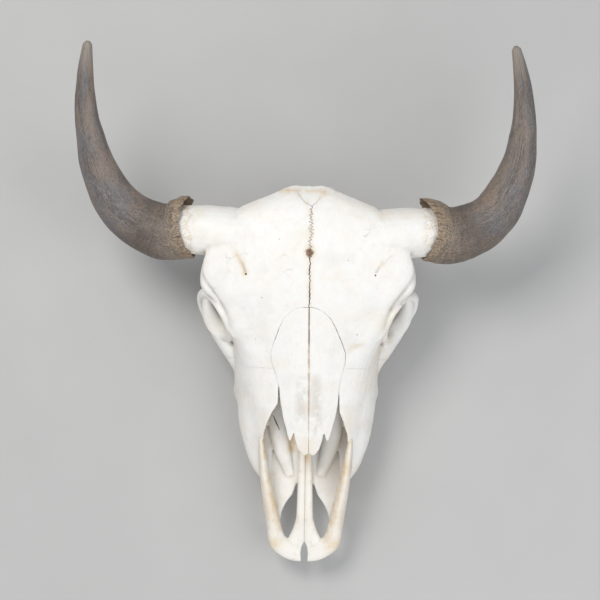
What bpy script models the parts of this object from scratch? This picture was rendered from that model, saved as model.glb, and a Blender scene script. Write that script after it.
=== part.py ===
"""Skull of a bison bull without its lower jaw, lying on its cheek teeth and jugular processes.

Metres, +Z up. The muzzle points along -Y and the crown of the head along +Y, and the face looks up.
Each bone that has its own sutures is its own object, and the horn sheaths sit loose on the horn cores.
"""

import math

import bpy
import bmesh
import numpy as np
from mathutils import Matrix, Vector

# How finely the bones are made
VOXEL = 0.0028
FINE_VOXEL = 0.0020
SMOOTHING = 6
SKULL_TRIANGLES = 4800
PREMAXILLA_TRIANGLES = 520

# Gap at every suture, and between a sheath and its core
GAP = 0.0004

# The middle of the whole outline, so that the origin is under its centre
CENTRE_X = -0.0044
CENTRE_Y = -0.0177

# Cross sections of the skull from the muzzle to the crown. For each y: height of the ridge, then (x, z)
# of the shoulder, the side, the widest point and the lower edge, and the height of the underside.
SECTIONS = (
    (-0.2630, 0.091, (0.036, 0.088), (0.056, 0.081), (0.0615, 0.066), (0.052, 0.051), 0.047),
    (-0.2440, 0.101, (0.037, 0.097), (0.064, 0.087), (0.0763, 0.066), (0.062, 0.043), 0.045),
    (-0.2190, 0.121, (0.037, 0.111), (0.067, 0.094), (0.0866, 0.066), (0.068, 0.036), 0.044),
    (-0.1850, 0.131, (0.039, 0.121), (0.072, 0.101), (0.0960, 0.067), (0.073, 0.031), 0.042),
    (-0.1540, 0.139, (0.042, 0.130), (0.077, 0.110), (0.1000, 0.069), (0.078, 0.027), 0.041),
    (-0.1220, 0.147, (0.046, 0.138), (0.082, 0.119), (0.1025, 0.072), (0.080, 0.024), 0.040),
    (-0.0930, 0.155, (0.052, 0.146), (0.087, 0.128), (0.1030, 0.078), (0.080, 0.024), 0.040),
    (-0.0660, 0.163, (0.060, 0.155), (0.098, 0.140), (0.1010, 0.088), (0.078, 0.036), 0.044),
    (-0.0440, 0.170, (0.072, 0.163), (0.108, 0.150), (0.0960, 0.098), (0.080, 0.062), 0.058),
    (-0.0300, 0.174, (0.080, 0.168), (0.110, 0.155), (0.0820, 0.104), (0.062, 0.070), 0.062),
    (-0.0120, 0.180, (0.088, 0.175), (0.114, 0.160), (0.0560, 0.114), (0.046, 0.076), 0.066),
    (0.0080, 0.186, (0.102, 0.181), (0.126, 0.166), (0.0560, 0.122), (0.048, 0.078), 0.066),
    (0.0360, 0.192, (0.114, 0.185), (0.1450, 0.166), (0.0600, 0.126), (0.054, 0.076), 0.062),
    (0.0660, 0.197, (0.116, 0.189), (0.139, 0.170), (0.0640, 0.126), (0.058, 0.072), 0.058),
    (0.1000, 0.198, (0.108, 0.188), (0.130, 0.166), (0.0680, 0.122), (0.060, 0.068), 0.056),
    (0.1280, 0.191, (0.070, 0.184), (0.096, 0.164), (0.0740, 0.118), (0.058, 0.070), 0.060),
    (0.1440, 0.183, (0.038, 0.178), (0.058, 0.160), (0.0560, 0.120), (0.046, 0.084), 0.074),
    (0.1580, 0.170, (0.018, 0.167), (0.028, 0.156), (0.0280, 0.138), (0.020, 0.118), 0.108),
)
SECTION_SAMPLES = 44
LENGTHWISE_STEPS = 60

# The bony ring round each eye: its middle, the way it faces, and its size
ORBIT_CENTRE = Vector((0.1275, -0.022, 0.1195))
ORBIT_FACES = Vector((0.80, -0.50, 0.33)).normalized()
ORBIT_RADIUS = 0.0360
ORBIT_RIM = 0.0068

# Outlines seen from above, for the half at +X
NASAL_OUTLINE = (
    (0.0003, -0.0095), (0.012, -0.0110), (0.022, -0.0160), (0.033, -0.0260), (0.040, -0.0400),
    (0.048, -0.0600), (0.0525, -0.0740), (0.0515, -0.0880), (0.046, -0.1060), (0.0420, -0.1230),
    (0.0400, -0.1480), (0.0366, -0.1650), (0.0322, -0.1835), (0.0276, -0.1990), (0.0252, -0.1975),
    (0.0212, -0.1855), (0.0192, -0.1965), (0.0150, -0.2105), (0.0098, -0.2180), (0.0050, -0.2205),
    (0.0003, -0.2165),
)
NASAL_THICKNESS = 0.0052
# The joint between the nasal bones lies this far to the right of the midline at its root and at the tips
NASAL_JOINT = 0.0022
NASAL_LEAN = 0.0043
# The narrow upper end of the nose opening lies this much to the right, as the nasal bones do
OPENING_LEAN = 0.0034
NOSE_OPENING = (
    (-0.0100, -0.1190), (0.0428, -0.1190), (0.0433, -0.1460), (0.0475, -0.1580), (0.0535, -0.1725),
    (0.0592, -0.1905), (0.0606, -0.2070), (0.0590, -0.2300), (0.0520, -0.2620), (0.0450, -0.3400),
    (-0.0100, -0.3400),
)
NOSE_FLOOR = (
    (-0.0440, -0.3400), (0.0440, -0.3400), (0.0500, -0.2500), (0.0480, -0.2100), (0.0360, -0.1700),
    (-0.0360, -0.1700), (-0.0480, -0.2100), (-0.0500, -0.2500),
)
PALATE_FRONT = (
    (0.0000, -0.1950), (0.0500, -0.1950), (0.0540, -0.2400), (0.0520, -0.2750), (0.0480, -0.3050),
    (0.0440, -0.3280), (0.0375, -0.3280), (0.0335, -0.3070), (0.0270, -0.2945), (0.0185, -0.2835),
    (0.0132, -0.2675), (0.0000, -0.2600),
)
# What is cut away at the midline, so that the rods part in front
MUZZLE_NOTCH = (
    (-0.0200, -0.4000), (0.0052, -0.4000), (0.0046, -0.3830), (0.0056, -0.3670), (0.0040, -0.3570),
    (0.0002, -0.3500), (0.0002, -0.2000), (-0.0200, -0.2000),
)
PALATE_TOP = 0.0534
PALATE_THICKNESS = 0.0078

# The suture between the face and the braincase, as (y, z) seen from the side
FACE_SUTURE = (
    (-0.0960, 0.2600), (-0.0960, 0.1300), (-0.0900, 0.1000), (-0.0760, 0.0780), (-0.0580, 0.0600),
    (-0.0560, -0.0300),
)
# The cheek bone lies in front of, outside and below these places
CHEEK_INNER = 0.0985
CHEEK_FRONT = -0.0830
CHEEK_BACK = 0.0440
CHEEK_TOP_FRONT = 0.1120
CHEEK_TOP_BACK = 0.1340
CHEEK_STEP = -0.0280

# Centre line of a horn: distance from the midline, y and height, with the sheath's radius
HORN_LINE = (
    (0.172, 0.0965, 0.1530, 0.0405), (0.202, 0.0935, 0.1484, 0.0394), (0.235, 0.1050, 0.1490, 0.0362),
    (0.260, 0.1240, 0.1570, 0.0328), (0.278, 0.1500, 0.1690, 0.0290), (0.2935, 0.1870, 0.1880, 0.0240),
    (0.3005, 0.2220, 0.2060, 0.0192), (0.3045, 0.2485, 0.2190, 0.0162), (0.3050, 0.2800, 0.2340, 0.0130),
    (0.3030, 0.3110, 0.2480, 0.0100), (0.2995, 0.3395, 0.2600, 0.0062),
)
HORN_LEAN_IN = {"left": 0.000, "right": 0.024}
# How far the mouth of each sheath reaches in over the bone, on its crown side and on its face side
MOUTH_REACH = {"left": (0.012, 0.008), "right": (0.023, 0.007)}
HORN_SIDES = 16
HORN_RINGS = 20
SOCKET_DEPTH = 0.17

# Cheek teeth from the back of the row: length along the jaw, width, and distance from the midline
TEETH = (
    (0.0300, 0.0245, 0.0640), (0.0300, 0.0255, 0.0655), (0.0260, 0.0245, 0.0650),
    (0.0180, 0.0205, 0.0625), (0.0180, 0.0185, 0.0595), (0.0160, 0.0150, 0.0560),
)
MOLARS = 3
TOOTH_ROW_BACK = -0.0700
TOOTH_TOP = 0.040
LIFT_STARTS = -0.1280
LIFT_SLOPE = 0.115

# The outline (x, y, z) of a plate made upright: its length runs along Y and its height along Z
UPRIGHT = Matrix(((0, 0, 1, 0), (1, 0, 0, 0), (0, 1, 0, 0), (0, 0, 0, 1)))

SIDES = ("left", "right")

BONE = (0.90, 0.88, 0.83, 1.0)
AGED_BONE = (0.86, 0.80, 0.68, 1.0)
HORN_BROWN = (0.25, 0.20, 0.165, 1.0)


def material(name, colour, roughness):
    made = bpy.data.materials.new(name)
    made.use_nodes = True
    shader = made.node_tree.nodes["Principled BSDF"]
    shader.inputs["Base Color"].default_value = colour
    shader.inputs["Roughness"].default_value = roughness
    shader.inputs["Metallic"].default_value = 0.0
    made.diffuse_color = colour
    return made


def collection(name):
    """The collection of that name, made and linked into the scene where it is new."""
    made = bpy.data.collections.get(name)
    if made is None:
        made = bpy.data.collections.new(name)
        bpy.context.scene.collection.children.link(made)
    return made


def linked(name, mesh):
    """A new object among the working pieces and cutters."""
    obj = bpy.data.objects.new(name, mesh)
    collection("cutters").objects.link(obj)
    return obj


def through(keys, values, at):
    """Smooth values at the places in at, through the given values at keys."""
    keys = np.asarray(keys, float)
    values = np.asarray(values, float).reshape(len(keys), -1)
    at = np.clip(np.asarray(at, float), keys[0], keys[-1])
    slopes = np.gradient(values, keys, axis=0)
    i = np.clip(np.searchsorted(keys, at, side="right") - 1, 0, len(keys) - 2)
    width = keys[i + 1] - keys[i]
    t = ((at - keys[i]) / width)[:, None]
    width = width[:, None]
    return (
        (2 * t**3 - 3 * t**2 + 1) * values[i]
        + (t**3 - 2 * t**2 + t) * width * slopes[i]
        + (3 * t**2 - 2 * t**3) * values[i + 1]
        + (t**3 - t**2) * width * slopes[i + 1]
    )


def skin(name, rings):
    """A closed body whose skin runs from ring to ring, with flat ends."""
    mesh = bmesh.new()
    rows = [[mesh.verts.new(p) for p in ring] for ring in rings]
    for row, following in zip(rows, rows[1:]):
        for i in range(len(row)):
            j = (i + 1) % len(row)
            mesh.faces.new((row[i], row[j], following[j], following[i]))
    mesh.faces.new(list(reversed(rows[0])))
    mesh.faces.new(rows[-1])
    bmesh.ops.recalc_face_normals(mesh, faces=mesh.faces)
    data = bpy.data.meshes.new(name)
    mesh.to_mesh(data)
    mesh.free()
    return linked(name, data)


def limb(name, path, widths, heights, sides=14, steps=6, upright=Vector((0, 0, 1))):
    """A bent tapering body with oval sections along a smooth path. Heights are measured along upright."""
    path = np.asarray(path, float)
    keys = np.arange(len(path))
    at = np.linspace(0, len(path) - 1, (len(path) - 1) * steps + 1)
    line = through(keys, path, at)
    half_widths = through(keys, widths, at)[:, 0]
    half_heights = through(keys, heights, at)[:, 0]
    turns = np.linspace(0, 2 * math.pi, sides, endpoint=False)
    rings = []
    for i, point in enumerate(line):
        before, after = line[max(i - 1, 0)], line[min(i + 1, len(line) - 1)]
        forward = Vector(after - before).normalized()
        side = forward.cross(upright).normalized() * half_widths[i]
        rise = side.cross(forward).normalized() * half_heights[i]
        rings.append([Vector(point) + side * math.cos(a) + rise * math.sin(a) for a in turns])
    return skin(name, rings)


def oval(name, centre, radii, turn=None):
    """An ellipsoid, turned by a rotation matrix where one is given."""
    mesh = bmesh.new()
    bmesh.ops.create_uvsphere(mesh, u_segments=28, v_segments=18, radius=1.0)
    placed = Matrix.Translation(centre) @ (turn or Matrix()).to_4x4() @ Matrix.Diagonal((*radii, 1.0))
    mesh.transform(placed)
    data = bpy.data.meshes.new(name)
    mesh.to_mesh(data)
    mesh.free()
    return linked(name, data)


def plate(name, outline, low, high, turn=None):
    """A flat outline, filled and made into a plate between two heights, and then turned if asked."""
    curve = bpy.data.curves.new(name, "CURVE")
    curve.dimensions = "2D"
    curve.fill_mode = "BOTH"
    curve.extrude = (high - low) / 2
    edge = curve.splines.new("POLY")
    edge.points.add(len(outline) - 1)
    for point, (x, y) in zip(edge.points, outline):
        point.co = (x, y, 0, 1)
    edge.use_cyclic_u = True
    flat = linked(name + "_curve", curve)
    flat.matrix_world = (turn or Matrix()) @ Matrix.Translation((0, 0, (high + low) / 2))
    bpy.context.view_layer.update()
    return meshed(name, flat)


def meshed(name, obj):
    """The evaluated shape of obj as a plain mesh object. The original is removed."""
    graph = bpy.context.evaluated_depsgraph_get()
    data = bpy.data.meshes.new_from_object(obj.evaluated_get(graph))
    data.transform(obj.matrix_world)
    mesh = bmesh.new()
    mesh.from_mesh(data)
    bmesh.ops.remove_doubles(mesh, verts=mesh.verts, dist=0.00001)
    bmesh.ops.recalc_face_normals(mesh, faces=mesh.faces)
    mesh.to_mesh(data)
    mesh.free()
    bpy.data.objects.remove(obj)
    data.name = name
    return linked(name, data)


def mirrored(obj, name):
    """A copy of obj on the other side of the midline."""
    data = obj.data.copy()
    data.transform(Matrix.Diagonal((-1.0, 1.0, 1.0, 1.0)))
    data.flip_normals()
    return linked(name, data)


def both(obj):
    """obj and its mirror image."""
    return [obj, mirrored(obj, obj.name + "_mirrored")]


def on_side(obj, side):
    """obj itself on the right side, or its mirror image instead of it on the left."""
    if side == "right":
        return obj
    other = mirrored(obj, obj.name)
    bpy.data.objects.remove(obj)
    return other


def settled(obj):
    """obj with its modifiers applied."""
    graph = bpy.context.evaluated_depsgraph_get()
    data = bpy.data.meshes.new_from_object(obj.evaluated_get(graph))
    obj.modifiers.clear()
    obj.data = data
    return obj


def joined(name, pieces):
    """All pieces as one mesh object, still as separate shells."""
    mesh = bmesh.new()
    for piece in pieces:
        mesh.from_mesh(piece.data)
        bpy.data.objects.remove(piece)
    data = bpy.data.meshes.new(name)
    mesh.to_mesh(data)
    mesh.free()
    return linked(name, data)


def fused(obj, voxel, smoothing):
    """The shells of obj grown together as bone does, with soft joins."""
    remesh = obj.modifiers.new("Fuse", "REMESH")
    remesh.mode = "VOXEL"
    remesh.voxel_size = voxel
    soften = obj.modifiers.new("Soften", "SMOOTH")
    soften.factor = 0.5
    soften.iterations = smoothing
    return settled(obj)


def combine(obj, other, operation):
    """A Boolean of obj with other, which is removed. The surfaces are too fine for the exact solver."""
    step = obj.modifiers.new(operation.title(), "BOOLEAN")
    step.operation = operation
    step.solver = "MANIFOLD"
    step.object = other
    settled(obj)
    bpy.data.objects.remove(other)
    return obj


def copied(obj, name):
    return linked(name, obj.data.copy())


def grown(obj, name, by):
    """A copy of obj that is larger all round."""
    copy = copied(obj, name)
    grow = copy.modifiers.new("Grow", "DISPLACE")
    grow.strength = by
    grow.mid_level = 0.0
    return settled(copy)


def thinned(obj, triangles):
    """obj with its faces merged down to about this many triangles."""
    obj.data.calc_loop_triangles()
    ratio = triangles / len(obj.data.loop_triangles)
    thin = obj.modifiers.new("Thin", "DECIMATE")
    thin.ratio = min(1.0, ratio)
    thin.use_collapse_triangulate = True
    return settled(obj)


def largest_body(obj):
    """Only the largest closed surface of obj is kept."""
    data = obj.data
    ends = np.empty(len(data.edges) * 2, dtype=np.int32)
    data.edges.foreach_get("vertices", ends)
    first, second = ends[0::2], ends[1::2]
    label = np.arange(len(data.vertices))
    while True:
        before = label.copy()
        low = np.minimum(label[first], label[second])
        np.minimum.at(label, first, low)
        np.minimum.at(label, second, low)
        label = label[label]
        if (label == before).all():
            break
    main = np.bincount(label).argmax()
    if (label == main).all():
        return obj
    mesh = bmesh.new()
    mesh.from_mesh(data)
    mesh.verts.ensure_lookup_table()
    loose = [mesh.verts[i] for i in np.flatnonzero(label != main)]
    bmesh.ops.delete(mesh, geom=loose, context="VERTS")
    mesh.to_mesh(data)
    mesh.free()
    return obj


def section(y):
    """The outline of the skull's cross section at y, from the ridge down the +X side and back up."""
    keys = [row[0] for row in SECTIONS]
    table = [(row[1], *row[2], *row[3], *row[4], *row[5], row[6]) for row in SECTIONS]
    ridge, x1, z1, x2, z2, x3, z3, x4, z4, base = through(keys, table, [y])[0]
    half = [(0, ridge), (x1, z1), (x2, z2), (x3, z3), (x4, z4), (0, base)]
    around = half + [(-x, z) for x, z in half[-2:0:-1]]
    count = len(around)
    at = np.linspace(0, count, SECTION_SAMPLES, endpoint=False)
    wrapped = np.asarray(around[-2:] + around + around[:3])
    outline = through(np.arange(-2, count + 3), wrapped, at)
    return [(x, y, z) for x, z in outline]


def top_height(x, y):
    """Height of the skull's upper surface at y, for one x or an array of them."""
    outline = np.asarray(section(y))
    upper = outline[: SECTION_SAMPLES // 4]
    return np.interp(np.abs(x), upper[:, 0], upper[:, 2])


def skull_core():
    places = np.linspace(SECTIONS[0][0], SECTIONS[-1][0], LENGTHWISE_STEPS)
    return skin("skull_core", [section(y) for y in places])


def horn_line(side, at):
    """Points and radii along a horn, for at from 0 at the mouth of the sheath to 1 at its tip."""
    keys = np.linspace(0, 1, len(HORN_LINE))
    rows = through(keys, HORN_LINE, at)
    lean = HORN_LEAN_IN[side] * np.clip((np.asarray(at) - 0.25) / 0.75, 0, 1) ** 1.3
    way = 1 if side == "right" else -1
    points = np.column_stack((way * (rows[:, 0] - lean), rows[:, 1], rows[:, 2]))
    return points, rows[:, 3]


def rings_along(points, radii, sides, flare=None):
    """Round sections along a line. flare gives how much wider and further back each point of a ring lies."""
    rings = []
    for i, point in enumerate(points):
        before, after = points[max(i - 1, 0)], points[min(i + 1, len(points) - 1)]
        forward = Vector(after - before).normalized()
        across = forward.cross(Vector((0, 0, 1))).normalized()
        rise = across.cross(forward).normalized()
        ring = []
        for a in np.linspace(0, 2 * math.pi, sides, endpoint=False):
            out = across * math.cos(a) + rise * math.sin(a)
            wider, further = flare(i, out) if flare else (0.0, 0.0)
            ring.append(Vector(point) + out * (radii[i] + wider) - forward * further)
        rings.append(ring)
    return rings


def core_radius(at):
    """Radius of the bony horn core at a place along the horn line."""
    return np.interp(at, (0.0, 0.05, 0.10, SOCKET_DEPTH), (0.0345, 0.0335, 0.0315, 0.0235))


def horn_core(side):
    """The pedicle that grows out of the forehead, and the core that the sheath sits on."""
    way = 1 if side == "right" else -1
    at = np.linspace(0.0, SOCKET_DEPTH, 8)
    points, _ = horn_line(side, at)
    root = [(way * 0.080, 0.086, 0.155), (way * 0.115, 0.092, 0.1545), (way * 0.145, 0.0962, 0.1542)]
    radii = np.concatenate(((0.040, 0.0380, 0.0355), core_radius(at)))
    return skin("horn_core_" + side, rings_along(np.vstack((root, points)), radii, 24))


def horn_sheath(side, sides=HORN_SIDES, rings=HORN_RINGS):
    """The horn sheath. Its skin runs up the socket to the mouth, and on over the outside to the tip."""
    at = np.linspace(0.0, 1.0, rings) ** 0.92
    points, radii = horn_line(side, at)
    to_crown, to_face = MOUTH_REACH[side]

    def lip(near, out, spread, flare):
        """The mouth stands off the bone, most on the side of the crown, and its edge rolls in a little."""
        near_edge = near**1.6 * (1 - 0.4 * max(0.0, near / 0.2 - 4) ** 2)
        crown, face = max(0.0, out.y), max(0.0, -out.y)
        return near_edge * (spread + flare * crown), near**1.7 * (to_crown * crown**1.9 + to_face * face**1.9)

    def mouth(i, out):
        return lip(max(0.0, 1 - at[i] / 0.13), out, 0.0006, 0.0078)

    outside = rings_along(points, radii, sides, mouth)
    tip = Vector(points[-1] - points[-2]).normalized()
    outside.append([Vector(points[-1]) + tip * 0.0042 + (p - Vector(points[-1])) * 0.45 for p in outside[-1]])
    inside_at = np.linspace(0.0, SOCKET_DEPTH + 0.008, 6)
    inside_points, _ = horn_line(side, inside_at)
    bores = core_radius(inside_at) + GAP

    def loose(i, out):
        return lip(max(0.0, 1 - inside_at[i] / 0.13), out, 0.0060, 0.0098)

    inside = rings_along(inside_points, bores, sides, loose)
    return skin("horn_" + side, list(reversed(inside)) + outside)


def orbit_axes():
    back = Vector((0, 0, 1)).cross(ORBIT_FACES).normalized()
    up = ORBIT_FACES.cross(back).normalized()
    return Matrix((ORBIT_FACES, back, up)).transposed()


def orbit_ring():
    """The rim of the eye socket. It is heavier behind and below, where the cheek bone carries it."""
    bpy.ops.mesh.primitive_torus_add(
        major_segments=24, minor_segments=12, major_radius=ORBIT_RADIUS, minor_radius=ORBIT_RIM
    )
    ring = meshed("orbit_ring", bpy.context.object)
    axes = orbit_axes()
    for vertex in ring.data.vertices:
        around = Vector((vertex.co.x, vertex.co.y)).normalized()
        heavy = 1 + 0.25 * max(0.0, 0.6 * around.x - 0.8 * around.y)
        reach = ORBIT_RADIUS + (vertex.co.xy.length - ORBIT_RADIUS) * heavy
        depth = vertex.co.z * 1.25 * heavy
        vertex.co = ORBIT_CENTRE + axes @ Vector((depth, around.x * reach, around.y * reach))
    return ring


def side_forms():
    """The forms that each side of the skull adds to its core."""
    cheek = limb(
        "cheek",
        [(0.139, -0.020, 0.086), (0.131, -0.042, 0.085), (0.112, -0.064, 0.083), (0.094, -0.092, 0.078),
         (0.084, -0.128, 0.072)],
        [0.009, 0.010, 0.015, 0.014, 0.010],
        [0.013, 0.016, 0.021, 0.018, 0.010],
    )
    arch = limb(
        "arch",
        [(0.138, -0.030, 0.087), (0.1425, -0.002, 0.089), (0.141, 0.028, 0.090), (0.134, 0.058, 0.092),
         (0.118, 0.088, 0.094), (0.094, 0.108, 0.096)],
        [0.006, 0.0065, 0.0060, 0.0070, 0.011, 0.018],
        [0.012, 0.0120, 0.0110, 0.0120, 0.015, 0.022],
    )
    brow = limb(
        "brow",
        [(0.100, -0.052, 0.146), (0.1105, -0.034, 0.148), (0.1150, -0.014, 0.151), (0.126, 0.004, 0.155),
         (0.1410, 0.021, 0.158), (0.1400, 0.050, 0.158)],
        [0.006, 0.006, 0.007, 0.008, 0.0095, 0.008],
        [0.006, 0.006, 0.008, 0.009, 0.011, 0.010],
    )
    orbit_floor = limb(
        "orbit_floor",
        [(0.088, -0.066, 0.086), (0.108, -0.048, 0.084), (0.127, -0.034, 0.083)],
        [0.018, 0.017, 0.012],
        [0.016, 0.011, 0.009],
    )
    jugular = limb(
        "jugular",
        [
            (0.078, 0.104, 0.112), (0.074, 0.113, 0.088), (0.069, 0.123, 0.056), (0.062, 0.129, 0.026),
            (0.057, 0.130, -0.006),
        ],
        [0.018, 0.025, 0.018, 0.0125, 0.0085],
        [0.008, 0.014, 0.0115, 0.0085, 0.0070],
        upright=Vector((0, 1, 0)),
    )
    bulla = oval("bulla", (0.043, 0.088, 0.050), (0.013, 0.019, 0.020))
    leaning_out = Matrix.Rotation(math.radians(28), 3, "Y")
    condyle = oval("condyle", (0.029, 0.140, 0.056), (0.0165, 0.021, 0.027), leaning_out)
    wing = limb(
        "pterygoid",
        [(0.031, -0.062, 0.052), (0.028, -0.030, 0.054), (0.027, 0.000, 0.056), (0.028, 0.030, 0.064)],
        [0.0040, 0.0034, 0.0034, 0.0040],
        [0.014, 0.018, 0.020, 0.012],
    )
    mastoid = limb(
        "mastoid",
        [(0.060, 0.112, 0.125), (0.096, 0.108, 0.122), (0.114, 0.100, 0.104), (0.104, 0.104, 0.082)],
        [0.016, 0.018, 0.016, 0.012],
        [0.034, 0.030, 0.018, 0.012],
        upright=Vector((0, 0, 1)),
    )
    concha = limb(
        "concha",
        [(0.020, -0.080, 0.092), (0.033, -0.125, 0.084), (0.040, -0.170, 0.073), (0.034, -0.215, 0.062),
         (0.022, -0.255, 0.054)],
        [0.014, 0.015, 0.014, 0.012, 0.006],
        [0.016, 0.017, 0.015, 0.010, 0.004],
    )
    return [cheek, arch, brow, orbit_floor, jugular, bulla, condyle, wing, mastoid, orbit_ring()], concha


def nose_opening(side):
    """The space between the nasal bones and the upper jaw, on one side, seen from above."""
    way = 1 if side == "right" else -1
    outline = []
    for x, y in NOSE_OPENING:
        lean = OPENING_LEAN if y > -0.150 else 0.0
        outline.append((way * x + lean, y))
    return plate("nose_opening", outline, 0.062, 0.200)


def hollows():
    """What is cut out of the skull: eye sockets, nose, palate, temporal pits and the spinal opening."""
    axes = orbit_axes()
    socket = oval("socket", ORBIT_CENTRE - ORBIT_FACES * 0.022, (0.060, 0.0315, 0.0305), axes)
    temporal = limb(
        "temporal_pit",
        [(0.150, 0.030, 0.112), (0.118, 0.050, 0.112), (0.086, 0.066, 0.110)],
        [0.026, 0.024, 0.014],
        [0.020, 0.020, 0.014],
    )
    canal = limb(
        "ear_canal",
        [(0.125, 0.086, 0.074), (0.100, 0.084, 0.072), (0.084, 0.082, 0.070)],
        [0.006, 0.005, 0.003],
        [0.006, 0.005, 0.003],
    )
    nose = limb(
        "nose",
        [(0, -0.300, 0.088), (0, -0.260, 0.086), (0, -0.215, 0.087), (0, -0.170, 0.092), (0, -0.125, 0.098),
         (0, -0.085, 0.103), (0, -0.052, 0.108)],
        [0.040, 0.050, 0.060, 0.063, 0.056, 0.040, 0.016],
        [0.033, 0.033, 0.034, 0.037, 0.036, 0.028, 0.012],
        sides=24,
    )
    palate = limb(
        "palate_vault",
        [(0, -0.290, 0.028), (0, -0.240, 0.024), (0, -0.180, 0.020), (0, -0.110, 0.018), (0, -0.060, 0.026),
         (0, -0.030, 0.030)],
        [0.030, 0.040, 0.044, 0.045, 0.040, 0.026],
        [0.018, 0.020, 0.021, 0.022, 0.026, 0.030],
        sides=24,
    )
    choana = oval("choana", (0, -0.030, 0.060), (0.019, 0.060, 0.017))
    magnum = oval("foramen_magnum", (0, 0.160, 0.078), (0.019, 0.048, 0.017))
    nose_floor = plate("nose_floor", NOSE_FLOOR, PALATE_TOP, 0.075)
    openings = [nose_opening(side) for side in SIDES]
    single = [nose, nose_floor, palate, choana, magnum]
    return [*both(socket), *both(temporal), *both(canal), *openings, *single]


def orbit_wall():
    """The broad cheek side of the eye socket, which leaves a small window beside the forehead."""
    return limb(
        "orbit_wall",
        [(0.1400, 0.0120, 0.128), (0.1415, -0.006, 0.114), (0.1370, -0.025, 0.103), (0.1240, -0.042, 0.097),
         (0.1050, -0.056, 0.098)],
        [0.0060, 0.0090, 0.0125, 0.0150, 0.0150],
        [0.0110, 0.0105, 0.0095, 0.0080, 0.0110],
    )


def skull_base():
    return limb(
        "skull_base",
        [(0, 0.140, 0.054), (0, 0.100, 0.054), (0, 0.050, 0.060), (0, 0.000, 0.068)],
        [0.024, 0.022, 0.018, 0.014],
        [0.016, 0.014, 0.014, 0.012],
    )


def palate_shelf():
    return plate("palate_front", PALATE_FRONT, PALATE_TOP - PALATE_THICKNESS, PALATE_TOP)


def carved(obj, cutters):
    for cutter in cutters:
        combine(obj, cutter, "DIFFERENCE")
    return obj


def skull_block():
    """The skull in one piece, before the sutures part it."""
    forms, concha = side_forms()
    pieces = [skull_core(), skull_base(), horn_core("left"), horn_core("right")]
    for form in forms:
        pieces += both(form)
    pieces.append(oval("braincase", (0, 0.070, 0.120), (0.064, 0.078, 0.056)))
    block = fused(joined("skull_block", pieces), VOXEL, 2)
    carved(block, hollows())
    block = joined("skull_block", [block, *both(concha), *both(palate_shelf()), *both(orbit_wall())])
    block = fused(block, VOXEL, SMOOTHING)
    return thinned(largest_body(block), SKULL_TRIANGLES)


def nasal_strip(name, grow, above, lengthwise=24, crosswise=15):
    """A shell along the roof of the nose, as thick as the nasal bones, with more room where asked."""
    places = np.linspace(-0.232, 0.006, lengthwise)
    widths = np.linspace(-0.066, 0.066, crosswise)
    rings = []
    for y in places:
        roof = list(zip(widths, top_height(widths, y)))
        top = [Vector((x, y, z + above)) for x, z in roof]
        under = [Vector((x, y, z - NASAL_THICKNESS - grow)) for x, z in reversed(roof)]
        rings.append(top + under)
    return skin(name, rings)


def offset_outline(outline, by):
    """An outline pushed outwards by a small distance."""
    moved = []
    for i, (x, y) in enumerate(outline):
        (x0, y0), (x1, y1) = outline[i - 1], outline[(i + 1) % len(outline)]
        dx, dy = x1 - x0, y1 - y0
        length = math.hypot(dx, dy)
        moved.append((x - dy / length * by, y + dx / length * by))
    return moved


def nasal_joint(y):
    """Where the joint between the nasal bones lies at y."""
    return NASAL_JOINT + (NASAL_LEAN - NASAL_JOINT) * -y / 0.22


def nasal_outline(side):
    """The outline of one nasal bone, seen from above. The pair leans to one side towards its tips."""
    way = 1 if side == "right" else -1
    outline = []
    for x, y in NASAL_OUTLINE:
        lean = NASAL_LEAN * min(1.0, max(0.0, (-0.020 - y) / 0.120))
        if x < 0.001:
            outline.append((nasal_joint(y) + way * x, y))
        else:
            outline.append((way * x + lean, y))
    return outline if side == "right" else outline[::-1]


def nasal_bone(side):
    bone = plate("nasal_" + side, nasal_outline(side), 0.080, 0.220)
    combine(bone, nasal_strip("nasal_shell", 0.0, 0.0), "INTERSECT")
    return largest_body(bone)


def nasal_pocket():
    """The space in the skull that the two nasal bones lie in."""
    outline = offset_outline(nasal_outline("right") + nasal_outline("left"), GAP)
    pocket = plate("pocket", outline, 0.080, 0.220)
    return combine(pocket, nasal_strip("pocket_shell", GAP, 0.02), "INTERSECT")


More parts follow.
